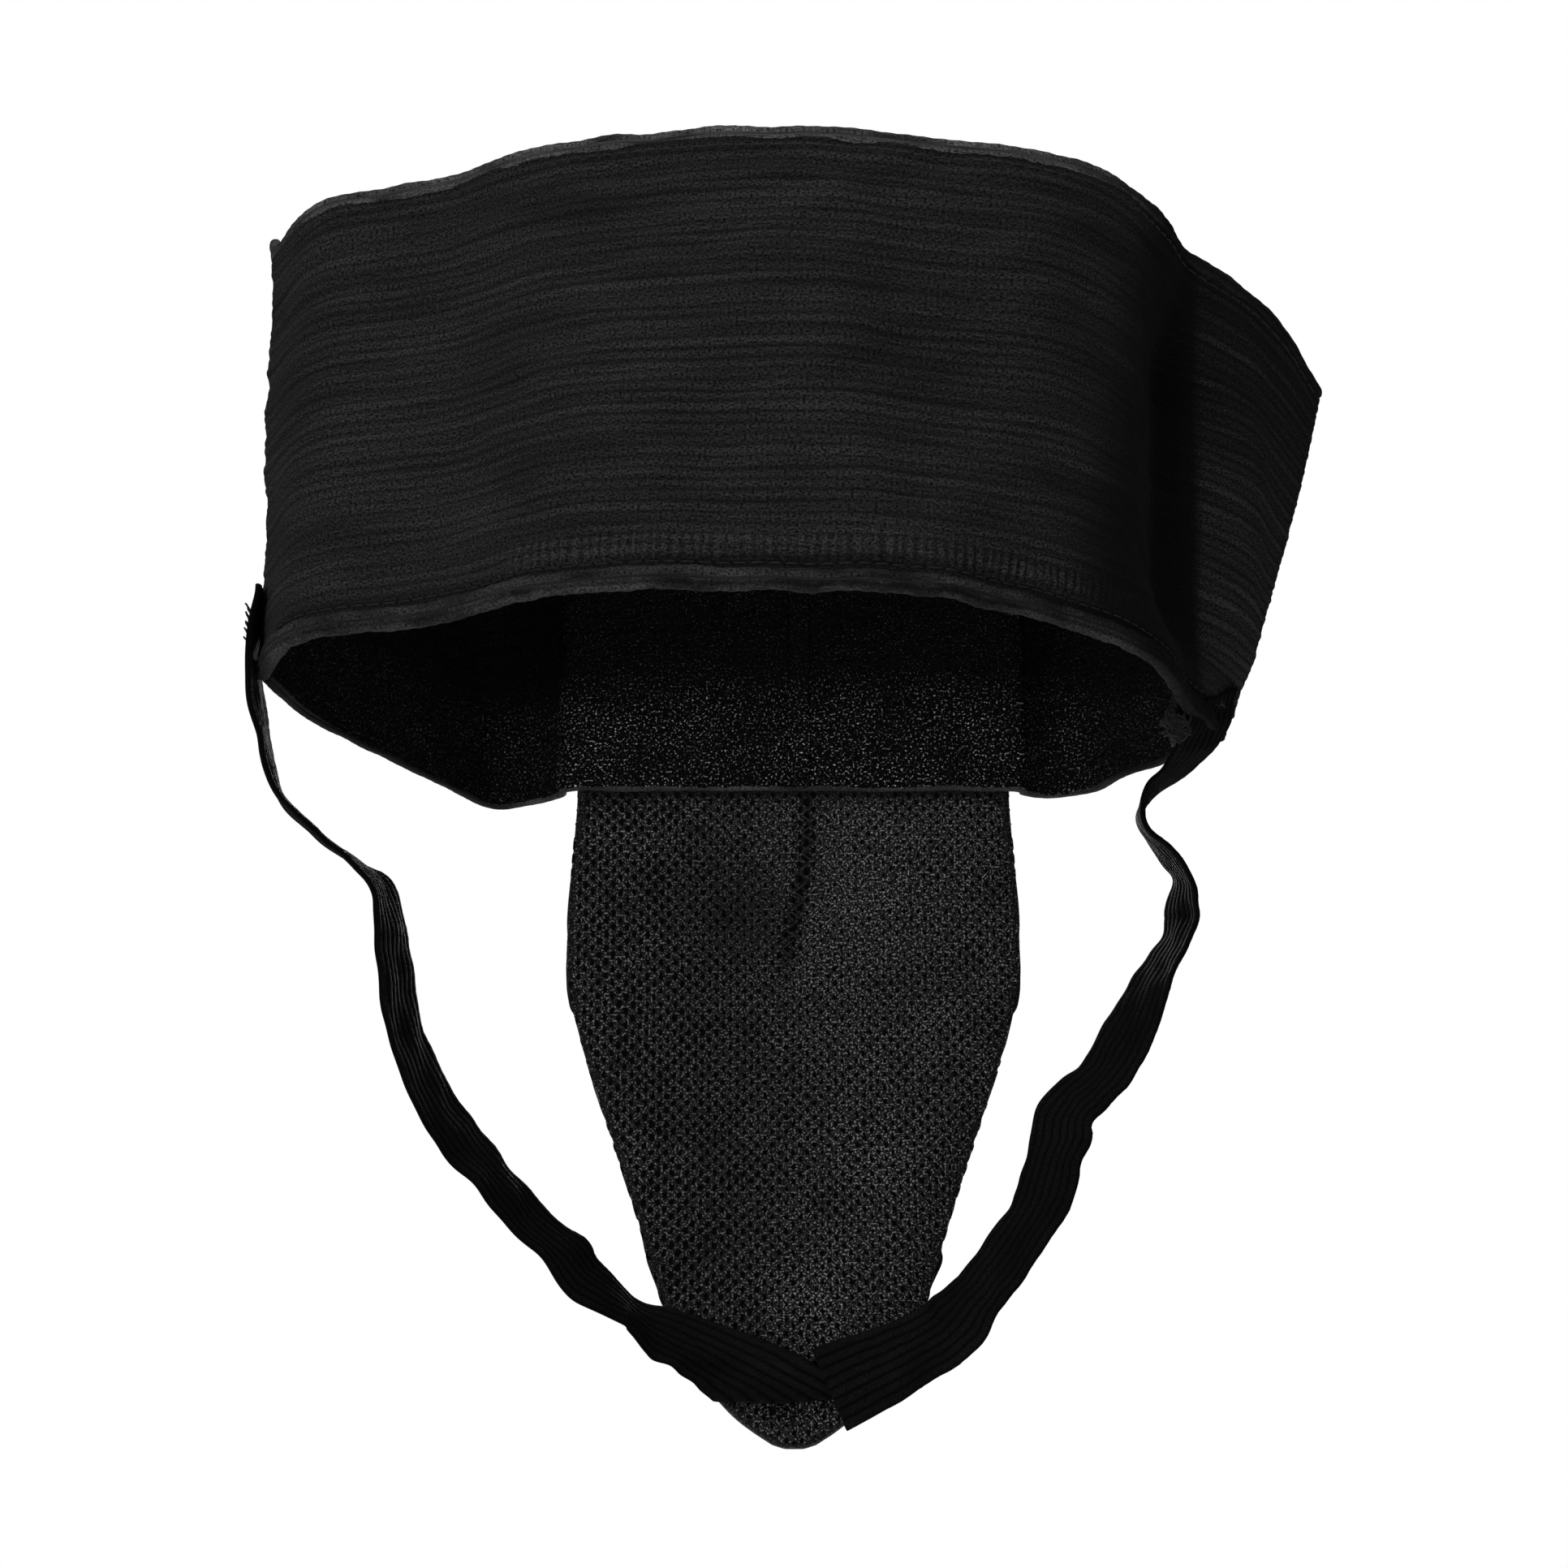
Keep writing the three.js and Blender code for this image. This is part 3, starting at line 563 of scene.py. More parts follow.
def back_elastic(wall, outside, inside):
    heights = np.arange(WELT_TOP - 1.2 * MM, 99.6 * MM, 0.45 * MM)
    points, outward, along, height = wall.grid(heights, 0.6 * MM)
    wobble = 0.45 * MM * ripple(along, height * 3, 26 * MM, seed=1)
    bulk = shifted_left_end(points) + outward * back_relief(points, height)[..., None]
    zone = gathered(points[..., 0], height)
    pleats = gathers(zone, along, height)
    seam = -0.7 * MM * bell(height, 5.7 * MM, 0.7 * MM)
    cord = cords(height, wobble) * (1 - 0.8 * zone)
    outer_relief = ELASTIC_HALF + cord - RIB_DEPTH / 2 + pleats + 0.5 * MM * zone + seam
    outer_relief += 0.05 * MM * ripple(along, height, 1.6 * MM, seed=6, waves=24)
    inner_relief = ELASTIC_HALF + 0.12 * MM * ripple(along, height, 1.5 * MM, seed=7, waves=24)
    outer = bulk + outward * outer_relief[..., None]
    inner = bulk - outward * inner_relief[..., None]
    # painted shade and highlights on the knit's outer face; none on the inner face
    painted_shades = (painted_knit_shade(outer[..., 0], height, zone, pleats, cord), np.ones(height.shape))
    uv = np.stack([along, height], axis=2)
    obj = sheet("back_elastic_knit", outer, inner, uv, [outside, inside], painted_shades)
    return stretched(obj, "elastic", "back_elastic")


def roll(name, wall, relief, bottom, top, thickness, cloth, seed, step=1.0 * MM, sides=18, groove=0.0,
         shade_both_ends=False):
    """A rounded edge run along the band's line, with a groove below its crown, painted shade in the groove
    and painted shade darkening its right end.
    """
    _, along = even_places(wall.lower, step)
    middle_height = (bottom + top) / 2
    heights = np.array([middle_height, middle_height + MM])
    points, outward, _, _ = wall.grid(heights, step)
    path, across = points[:, 0], outward[:, 0]
    angle = np.linspace(0, 2 * math.pi, sides, endpoint=False)
    ring_z = (top - bottom) / 2 * np.sign(np.sin(angle)) * np.abs(np.sin(angle)) ** 0.8
    ring_y = thickness / 2 * np.sign(np.cos(angle)) * np.abs(np.cos(angle)) ** 0.8
    dent = groove * bell(angle, 2 * math.pi - 0.5, 0.16)
    ring_y = ring_y * (1 - dent)
    swell = 1 + 0.07 * ripple(along, 0 * along, 9 * MM, seed)
    swell = swell + 0.035 * np.sin(2 * math.pi * along / (3.4 * MM))
    wave = 0.15 * MM * ripple(along, 0 * along, 16 * MM, seed + 1)
    out = relief(path, np.full(len(path), middle_height))
    reach = out[:, None] + swell[:, None] * ring_y
    rings = shifted_left_end(path)[:, None] + across[:, None] * reach[..., None]
    rings[..., 2] += swell[:, None] * ring_z + wave[:, None]
    x = rings[..., 0]
    # painted shade in the groove and towards the right end; towards both ends for the piping
    far = np.abs(x) if shade_both_ends else -x
    painted_shade = np.broadcast_to(1 - 4 * dent, x.shape) * (1 - 0.85 * smooth(far, 62 * MM, 84 * MM))
    return closed_rings(name, rings, along, cloth, np.maximum(painted_shade, 0.1))


def closed_rings(name, rings, along, cloth, painted_shade=None):
    """A solid through a row of rings, with both ends closed."""
    count, sides = rings.shape[:2]
    number = np.arange(count * sides).reshape(count, sides)
    turned = np.roll(number, -1, axis=1)
    walls = np.stack([number[:-1], turned[:-1], turned[1:], number[1:]], axis=2).reshape(-1, 4)
    faces = walls.tolist() + [number[0, ::-1].tolist(), number[-1].tolist()]
    round_way = np.linalg.norm(np.diff(rings[:, [*range(sides), 0]], axis=1), axis=2).cumsum(axis=1)
    uv = np.stack([np.broadcast_to(along[:, None], round_way.shape), round_way], axis=2)
    shades = None if painted_shade is None else painted_shade.ravel()
    obj = make_object(name, rings.reshape(-1, 3), faces, uv.reshape(-1, 2), [cloth], painted_shade=shades)
    face_outwards(obj)
    return obj


def face_outwards(obj):
    """Turns a closed mesh the right way out if its volume is negative."""
    mesh = bmesh.new()
    mesh.from_mesh(obj.data)
    if mesh.calc_volume(signed=True) < 0:
        bmesh.ops.reverse_faces(mesh, faces=mesh.faces)
        mesh.to_mesh(obj.data)
    mesh.free()


def stitch_row(wall, relief, height, out, length, gap, sink=0.05 * MM):
    """Centre lines of a row of stitches along a wall: each is a short arched thread."""
    heights = np.array([height, height + MM])
    points, outward, along, _ = wall.grid(heights, 0.4 * MM)
    path, across, distance = points[:, 0], outward[:, 0], along[:, 0]
    lift = relief(path, np.full(len(path), height)) + out
    path = shifted_left_end(path) + across * lift[:, None]
    paths = []
    for start in np.arange(1.5 * MM, distance[-1] - length - 1.5 * MM, length + gap):
        share = np.linspace(0, 1, 6)
        at = start + share * length
        middle = np.stack([np.interp(at, distance, path[:, k]) for k in range(3)], axis=1)
        side = np.stack([np.interp(at, distance, across[:, k]) for k in range(3)], axis=1)
        paths.append(middle + side * (0.22 * MM * np.sin(math.pi * share) - sink)[:, None])
    return paths


def build_back(wall, cloths):
    back_elastic(wall, cloths["elastic"], cloths["plush"])
    hem = roll(
        "back_top_hem_fold", wall, back_relief, 98.6 * MM, 102.1 * MM, HEM_THICK, cloths["hem"], seed=21
    )
    stretched(hem, "hem", "back_top_hem")
    welt = roll(
        "back_welt_roll", wall, back_relief, 0.2 * MM, 4.9 * MM, 3.8 * MM, cloths["welt"], seed=25,
        sides=32, groove=0.16,
    )
    stretched(welt, "hem", "back_bottom_welt")
    rows = stitch_row(wall, back_relief, 5.8 * MM, ELASTIC_HALF - 0.25 * MM, 2.6 * MM, 0.9 * MM)
    rows += stitch_row(wall, back_relief, 97.4 * MM, ELASTIC_HALF + 0.05 * MM, 2.6 * MM, 0.9 * MM)
    stitches = tubes("back_hem_stitches", rows, [cloths["dark_thread"]], 0.2 * MM)
    stretched(stitches, "thread", "back_hem_stitching")


def front_relief(points, height):
    """The front panel's right end lies inside the back panel, and follows its fold."""
    run = np.linalg.norm(np.diff(points, axis=0), axis=-1)
    start = np.zeros((1, *run.shape[1:]))
    along = np.concatenate([start, np.cumsum(run, axis=0)])
    lap = smooth(along, along[-1:] - 50 * MM, along[-1:] - 30 * MM)
    return lap * back_relief(points, height)


def painted_pile_shade(x, height):
    """Painted shade on the pile inside the front: lit low down, with a painted shadow of the near band higher
    up and painted shade past the facing.
    """
    upright = 0.12 + 0.88 * smooth(34 * MM - height, 0, 16 * MM)
    beside = 1 - 0.72 * smooth(x, 57.5 * MM, 59 * MM) - 0.45 * smooth(-x, 56 * MM, 59 * MM)
    beside = beside - 0.35 * smooth(-x, 68 * MM, 84 * MM) * smooth(40 * MM - height, 0, 15 * MM)
    return upright * beside


def front_elastic(wall, outside, inside):
    heights = np.arange(0.9 * MM, 102.6 * MM, 0.6 * MM)
    points, outward, along, height = wall.grid(heights, 1.0 * MM)
    points = points + outward * front_relief(points, height)[..., None]
    wobble = 0.35 * MM * ripple(along, height * 3, 30 * MM, seed=31)
    outer_relief = ELASTIC_HALF + cords(height, wobble) - RIB_DEPTH / 2
    pile = 0.16 * MM * ripple(along, height, 1.3 * MM, seed=32, waves=24)
    pile += 0.10 * MM * ripple(along, height, 4.0 * MM, seed=33)
    outer = points + outward * outer_relief[..., None]
    inner = points - outward * (ELASTIC_HALF + pile)[..., None]
    # painted shadow of the near band on the pile of the inner face
    painted_shades = (np.ones(height.shape), painted_pile_shade(points[..., 0], height))
    uv = np.stack([along, height], axis=2)
    obj = sheet("front_elastic_knit", outer, inner, uv, [outside, inside], painted_shades)
    return placed(obj, "waistband", "elastic", "front_elastic")


def flat_panel(name, box_node, cloth, step=0.8 * MM, quilt=0.0, shade=None):
    """A thin cloth panel in the space of a flat CAD piece that faces forwards or backwards."""
    low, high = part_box(box_node)
    x = np.linspace(low.x, high.x, int((high.x - low.x) / step) + 2)
    z = np.linspace(low.z, high.z, int((high.z - low.z) / step) + 2)
    grid_x, grid_z = np.meshgrid(x, z, indexing="ij")
    relief = quilt * ripple(grid_x, grid_z, 14 * MM, seed=50)
    edge = np.minimum.reduce([grid_x - x[0], x[-1] - grid_x, grid_z - z[0], z[-1] - grid_z])
    half = (high.y - low.y) / 2
    rounding = half * (0.35 + 0.65 * np.sqrt(np.clip(edge / (1.2 * MM), 0, 1)))
    middle = (low.y + high.y) / 2
    front = np.stack([grid_x, middle - rounding - relief, grid_z], axis=2)
    back = np.stack([grid_x, middle + rounding - relief, grid_z], axis=2)
    # shade, when given, paints light and shade on both faces of the panel
    painted_shades = None if shade is None else [shade(grid_x, grid_z - WAIST[2])] * 2
    return sheet(name, front, back, np.stack([grid_x, grid_z], axis=2), [cloth], painted_shades)


def straight_stitches(start, end, out, length=2.6 * MM, gap=0.9 * MM):
    """Arched stitches along a straight line; out is the way they stand proud."""
    start, end, out = (np.array(v, float) for v in (start, end, out))
    whole = np.linalg.norm(end - start)
    way = (end - start) / whole
    share = np.linspace(0, 1, 6)[:, None]
    paths = []
    for at in np.arange(0, whole - length, length + gap):
        paths.append(start + way * (at + share * length) + out * 0.25 * MM * np.sin(math.pi * share))
    return paths


def build_front(wall, cloths):
    front_elastic(wall, cloths["elastic"], cloths["plush"])
    hem = roll(
        "front_top_hem_fold", wall, front_relief, 101.6 * MM, 105.1 * MM, HEM_THICK, cloths["hem"], seed=41
    )
    placed(hem, "waistband", "hem", "front_top_hem")
    # the piping has painted shade darkening both its ends
    piping = roll(
        "front_hem_piping_fold", wall, front_relief, 0.3 * MM, 1.5 * MM, 2.0 * MM, cloths["piping"], seed=45,
        sides=14, shade_both_ends=True,
    )
    placed(piping, "waistband", "hem", "front_hem_piping")
    facing = flat_panel("front_facing_panel", "front_facing", cloths["facing"], quilt=0.12 * MM)
    placed(facing, "waistband", "facing", "front_facing")
    # the centre tape carries the same painted shadow as the pile round it
    seam = flat_panel(
        "centre_front_tape", "centre_front_seam", cloths["plush"],
        step=0.5 * MM, quilt=0.1 * MM, shade=painted_pile_shade,
    )
    placed(seam, "waistband", "thread", "centre_front_seam")
    for side in ("left", "right"):
        low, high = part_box(f"{side}_facing_stitching")
        x = (low.x + high.x) / 2
        paths = straight_stitches((x, high.y - 0.2 * MM, low.z), (x, high.y - 0.2 * MM, high.z), (0, -1, 0))
        stitches = tubes(f"{side}_facing_stitches", paths, [cloths["thread"]], 0.24 * MM, side=(1, 0, 0))
        placed(stitches, "waistband", "thread", f"{side}_facing_stitching")


def seam_tape(name, rows, depth, cloth, *nodes):
    """A tape inside the band, on rows of (points, outward directions) that run along it."""
    points, outward = (np.concatenate([row[k] for row in rows]) for k in range(2))
    along = np.arange(len(points))[:, None] * 0.8 * MM
    height = points[..., 2]
    edge = np.minimum(along, along[-1] - along)
    pillow = 0.4 * MM * (0.4 + 0.6 * np.sqrt(np.clip(edge / (1.2 * MM), 0, 1)))
    wave = 0.12 * MM * ripple(along + 0 * height, height, 9 * MM, seed=48)
    middle = points - outward * (depth + wave)[..., None]
    uv = np.stack(np.broadcast_arrays(along, height), axis=2)
    obj = sheet(name, middle + outward * pillow[..., None], middle - outward * pillow[..., None], uv, [cloth])
    return placed(obj, "waistband", "hem", *nodes)


def wall_rows(wall, relief, start, end, heights):
    """Rows of a wall between two distances along it, with its relief."""
    points, outward, along, height = wall.grid(heights, 0.8 * MM)
    points = points + outward * relief(points, height)[..., None]
    chosen = (along[:, 0] >= start) & (along[:, 0] <= end)
    return points[chosen], outward[chosen]


def build_tapes(back_wall, front_wall, cloths):
    """Tapes over the side seams: the left across both panels, the right over the front panel's end."""
    heights = np.arange(15 * MM, 96 * MM, 1.0 * MM)
    front = wall_rows(front_wall, front_relief, 0, 7 * MM, heights)
    back = wall_rows(back_wall, back_relief, 0, 7 * MM, heights)
    left = [(front[0][::-1], front[1][::-1]), back]
    seam_tape("left_seam_tape_cloth", left, 1.9 * MM, cloths["tape"], "left_side_seam_tape")
    length = back_wall.length()
    right = [wall_rows(back_wall, back_relief, 0.86 * length, 0.92 * length, heights)]
    seam_tape("right_seam_tape_cloth", right, 5.4 * MM, cloths["tape"], "right_side_seam_tape")


def refined(node_name, name, cloth, bumps, seed):
    """A finer, softly uneven copy of a CAD piece, tucked in a little, with cloth coordinates."""
    low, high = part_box(node_name)
    middle = (low + high) / 2
    mesh = bmesh.new()
    mesh.from_mesh(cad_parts[node_name].data)
    bmesh.ops.remove_doubles(mesh, verts=mesh.verts, dist=1e-5)
    bmesh.ops.subdivide_edges(mesh, edges=mesh.edges, cuts=1, use_grid_fill=True)
    bmesh.ops.recalc_face_normals(mesh, faces=mesh.faces)
    mesh.normal_update()
    for corner in mesh.verts:
        x, y, z = corner.co
        corner.co += corner.normal * (bumps * float(ripple(x + y, z, 4 * MM, seed)))
        corner.co.x = middle.x + (corner.co.x - middle.x) * TUCK
        corner.co.z = middle.z + (corner.co.z - middle.z) * TUCK
    data = bpy.data.meshes.new(name)
    layer = mesh.loops.layers.uv.new("cloth")
    for face in mesh.faces:
        for loop in face.loops:
            x, y, z = loop.vert.co
            loop[layer].uv = (x + 0.7 * y, z + 0.3 * y)
    mesh.to_mesh(data)
    mesh.free()
    data.materials.clear()
    data.materials.append(cloth)
    data.shade_smooth()
    obj = bpy.data.objects.new(name, data)
    bpy.context.scene.collection.objects.link(obj)
    return obj


# ---------------------------------------------------------------- pouch
def bent_at_hem(obj):
    """Bakes the piece's placement into its mesh. Its top edge is sewn to the waistband."""
    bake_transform(obj)
    return obj


def hung(obj, slot, *nodes):
    """A piece of the pouch that stands for CAD pieces."""
    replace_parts(bent_at_hem(obj), *nodes)
    return obj


class BodyFace:
    """The pouch's face towards the body, as a smooth surface through the corners of the CAD lining."""

    def __init__(self, name="pouch_mesh_lining"):
        points = corners(name)
        self.low, self.high = points.min(axis=0), points.max(axis=0)
        self.top = WAIST[2] + 1.2 * MM
        columns, place = np.unique(np.round(points[:, [0, 2]], 4), axis=0, return_inverse=True)
        back = np.full(len(columns), -np.inf)
        np.maximum.at(back, place.ravel(), points[:, 1])
        self.terms = np.linalg.lstsq(self.powers(columns[:, 0], columns[:, 1]), back, rcond=None)[0]
        self.row_heights = np.unique(columns[:, 1])
        self.row_halves = np.array([columns[columns[:, 1] == row, 0].max() for row in self.row_heights])

    def powers(self, x, z):
        across = x / self.high[0]
        down = (z - self.high[2]) / (self.high[2] - self.low[2])
        return np.stack([across ** (2 * i) * down**j for i in range(2) for j in range(8)], axis=-1)

    def depth(self, x, z):
        """y of the surface."""
        return self.powers(x, z) @ self.terms

    def half_width(self, z):
        return np.interp(z, self.row_heights, self.row_halves)

    def dart_line(self, z):
        """x of the short seam down from the middle of the top edge."""
        return -3.5 * MM + 5.5 * MM * smooth(self.high[2] - z, 10 * MM, 45 * MM)

    def relief(self, x, z):
        """How far the soft face stands towards the body from its plain shape."""
        down = self.high[2] - z
        dart_x = self.dart_line(z)
        dart = -1.2 * MM * bell(x, dart_x, 2.6 * MM) * smooth(52 * MM - down, 0, 22 * MM)
        swell = 1.9 * MM + 0.5 * MM * ripple(x, z, 38 * MM, seed=61)
        swell = swell + 0.3 * MM * ripple(x, z, 13 * MM, seed=62)
        swell = swell + 2.4 * MM * bell(x, -20 * MM, 15 * MM) * bell(down, 30 * MM, 24 * MM)
        swell = swell - 0.9 * MM * bell(x, 20 * MM, 15 * MM) * bell(down, 34 * MM, 20 * MM)
        swell = swell + 2.2 * MM * bell(x, -24 * MM, 12 * MM) * bell(down, 92 * MM, 26 * MM)
        rim = np.clip((self.half_width(z) - np.abs(x)) / (9 * MM), 0, 1)
        sewn = smooth(down, -2 * MM, 12 * MM)
        edge = -1.4 * MM * (1 - rim) ** 2
        return (dart + swell * (1 - (1 - rim) ** 2)) * sewn + edge

    def painted_shade(self, x, z):
        """Painted light on the mesh: painted shade left of the dart and along it, painted highlights right of
        it and at the tip, and a painted shadow just under the hem.
        """
        down = self.high[2] - z
        shade = 0.8 - 0.5 * bell(x, 15 * MM, 15 * MM) * bell(down, 26 * MM, 16 * MM)
        shade = shade + 0.30 * bell(x, -20 * MM, 14 * MM) * bell(down, 22 * MM, 20 * MM)
        shade = shade + 0.25 * bell(x, -20 * MM, 12 * MM) * bell(down, 80 * MM, 24 * MM)
        shade = shade + 0.60 * bell(x, -4 * MM, 9 * MM) * bell(down, 122 * MM, 10 * MM)
        shade = shade - 0.25 * bell(x, 20 * MM, 20 * MM) * bell(down, 85 * MM, 40 * MM)
        dart = bell(x, self.dart_line(z), 1.8 * MM) * smooth(46 * MM - down, 0, 10 * MM)
        # painted shadow of the piping on the mesh's top edge
        hem_shadow = 0.05 + 0.95 * smooth(self.top - z, 1.2 * MM, 4.5 * MM)
        return shade * (1 - 0.75 * dart) * hem_shadow


def lattice_centres(face):
    """Middles of the mesh's staggered holes, out to the pouch's outline."""
    half_x, half_z = MESH_HALF_CELL
    rows = []
    for row, z in enumerate(np.arange(face.top, face.low[2], -half_z)):
        x = np.arange(-40, 41) * 2 * half_x + (row % 2) * half_x
        x = x[np.abs(x) < face.half_width(z)]
        rows.append(np.stack([x, np.full(len(x), z)], axis=1))
    return np.vstack(rows)


def lattice_rings(face):
    """Rings of 8 points round each hole, from the shared diamond outline in to the hole's floor."""
    centres = lattice_centres(face)
    corner = np.array([(1, 0), (0.5, 0.5), (0, 1), (-0.5, 0.5), (-1, 0), (-0.5, -0.5), (0, -1), (0.5, -0.5)])
    circle = unit(corner) * np.array([0.62, 1.05])
    x, z = centres.T
    loose = smooth(x, -5 * MM, 45 * MM) * (1 + smooth(face.high[2] - z, 80 * MM, 130 * MM))
    dart = bell(x, face.dart_line(z), 2.2 * MM) * smooth(46 * MM - (face.high[2] - z), 0, 10 * MM)
    quiet = bell(x, -8 * MM, 30 * MM) * bell(face.high[2] - z, 24 * MM, 24 * MM)
    size = 0.76 + 0.24 * loose + 0.12 * ripple(x, z, 11 * MM, seed=71) - 0.36 * quiet
    size = np.clip(size, 0.4, 1.22) * (1 - dart) + 1.2 * dart
    lean = 0.16 * smooth(face.high[2] - z, 50 * MM, 110 * MM) * np.sign(-x) * smooth(np.abs(x), 0, 20 * MM)
    rings = []
    for share, roundness, lift in MESH_RINGS:
        shape = corner * share * (1 - roundness) + circle * share * roundness
        shape = shape[None] * (1 + roundness * (size[:, None, None] - 1))
        shape = shape * np.array(MESH_HALF_CELL)
        shape[..., 0] += shape[..., 1] * lean[:, None] * roundness
        flat = centres[:, None] + shape
        rings.append(np.concatenate([flat, np.full((*flat.shape[:2], 1), lift)], axis=2))
    return np.stack(rings, axis=1)


def laid_on(face, flat):
    """Puts flat points (x, z, lift) on the body side of the pouch, kept within its outline."""
    z = np.clip(flat[..., 1], face.low[2] + 0.5 * MM, face.top)
    reach = face.half_width(z)
    x = np.clip(flat[..., 0], -reach, reach)
    return np.stack([x, face.depth(x, z) + face.relief(x, z) + flat[..., 2], z], axis=-1)


def mesh_lining(face, cloth, ground):
    """Air mesh: rounded threads round upright holes with dark floors, on a plain dark back."""
    front = laid_on(face, lattice_rings(face))
    cells, rings, sides = front.shape[:3]
    number = np.arange(cells * rings * sides).reshape(cells, rings, sides)
    back_number = number.size + np.arange(cells * sides).reshape(cells, sides)
    points = np.vstack([front.reshape(-1, 3), (front[:, 0] - [0, 1.2 * MM, 0]).reshape(-1, 3)])
    keys = np.round(points / (0.03 * MM)).astype(int)
    _, first, merged = np.unique(keys, axis=0, return_index=True, return_inverse=True)
    merged = merged.ravel()
    turned = np.roll(number, -1, axis=2)
    walls = np.stack([number[:, :-1], number[:, 1:], turned[:, 1:], turned[:, :-1]], axis=-1).reshape(-1, 4)
    rims = rim_walls(number, back_number, merged)
    groups = [(walls, 0), (number[:, -1, ::-1], 1), (back_number, 1), (rims, 1)]
    faces, slots = [], []
    for group, slot in groups:
        for ids in merged[group].tolist():
            kept = [k for k, before in zip(ids, ids[-1:] + ids[:-1]) if k != before]
            if len(kept) > 2 and len(set(kept)) == len(kept):
                faces.append(kept)
                slots.append(slot)
    points = points[first]
    # painted shade and highlights over the mesh
    painted_shade = face.painted_shade(points[:, 0], points[:, 2])
    obj = make_object("mesh_lining", points, faces, points[:, [0, 2]], [cloth, ground], np.array(slots), painted_shade)
    return hung(obj, "mesh", "pouch_mesh_lining")


def rim_walls(number, back_number, merged):
    """Walls between the front and the back along the lattice's outer border."""
    edges = np.stack([number[:, 0], np.roll(number[:, 0], -1, axis=1)], axis=-1).reshape(-1, 2)
    backs = np.stack([back_number, np.roll(back_number, -1, axis=1)], axis=-1).reshape(-1, 2)
    keys = np.sort(merged[edges], axis=1)
    _, place, uses = np.unique(keys, axis=0, return_inverse=True, return_counts=True)
    alone = uses[place.ravel()] == 1
    a, b = edges[alone].T
    c, d = backs[alone].T
    return np.stack([a, b, d, c], axis=1)


def edge_seam(face, side, cloth):
    """The closed long edge of the pouch: lining and cover turned under and sewn to a soft roll."""
    z = np.linspace(face.top, face.low[2] + 0.8 * MM, 240)
    x = side * np.maximum(face.half_width(z) - 1.6 * MM, 0)
    tip = np.linspace(1, 0, 12)[1:]
    x = np.concatenate([x, x[-1] * tip])
    z = np.concatenate([z, z[-1] - 0.5 * MM * (1 - tip**2)])
    y = face.depth(x, z) - 2.2 * MM
    path = np.stack([x, y, z], axis=1)
    along = distances(path)
    swell = 1 + 0.08 * ripple(along, 0 * along, 7 * MM, seed=81)
    swell = swell + 0.05 * np.sin(2 * math.pi * along / (3.1 * MM))
    run = unit(np.gradient(path, axis=0))
    fore = np.array([0, 1, 0]) - run * run[:, 1:2]
    fore = unit(fore)
    out = np.cross(run, fore)
    angle = np.linspace(0, 2 * math.pi, 14, endpoint=False)
    rings = path[:, None] + out[:, None] * (1.3 * MM * np.cos(angle)[None, :, None] * swell[:, None, None])
    rings = rings + fore[:, None] * (1.9 * MM * np.sin(angle)[None, :, None] * swell[:, None, None])
    name = "left" if side > 0 else "right"
    obj = closed_rings(f"{name}_pouch_edge_roll", rings, along, cloth)
    return hung(obj, "cover", f"{name}_pouch_edge_seam")


def dart_stitches(face, thread):
    """Crossed stitches that draw the dart together."""
    low = face.high[2] - 43 * MM
    paths = []
    for k, z in enumerate(np.arange(face.high[2] - 2 * MM, low, -2.4 * MM)):
        share = np.linspace(-1, 1, 7)
        lean = 1 if k % 2 else -1
        x = face.dart_line(z) + share * 1.2 * MM
        height = z + lean * share * 0.9 * MM
        y = face.depth(x, height) + face.relief(x, height) + 0.25 * MM + 0.2 * MM * (1 - share**2)
        paths.append(np.stack([x, y, height], axis=1))
    obj = tubes("mesh_dart_stitches", paths, [thread], 0.22 * MM, side=(0, 1, 0))
    return hung(obj, "thread", "mesh_centre_seam")


def layer_grid(name):
    """Corners of a CAD layer of the pouch as (rows, columns) grids: its front and its back face."""
    points = corners(name)
    fronts, backs = [], []
    for height in np.unique(points[:, 2]):
        row = points[points[:, 2] == height]
        pairs = row[np.argsort(row[:, 0])].reshape(-1, 2, 3)
        fronts.append([pair[pair[:, 1].argmin()] for pair in pairs])
        backs.append([pair[pair[:, 1].argmax()] for pair in pairs])
    return np.array(fronts), np.array(backs)


def finer_grid(grid, rows, columns):
    """A smooth surface through a grid of points, with the given numbers of rows and columns."""
    row_places = np.linspace(0, len(grid) - 1, rows)
    column_places = np.linspace(0, grid.shape[1] - 1, columns)
    tall = np.stack([spline(grid[:, k], row_places) for k in range(grid.shape[1])], axis=1)
    return np.stack([spline(line, column_places) for line in tall], axis=0)


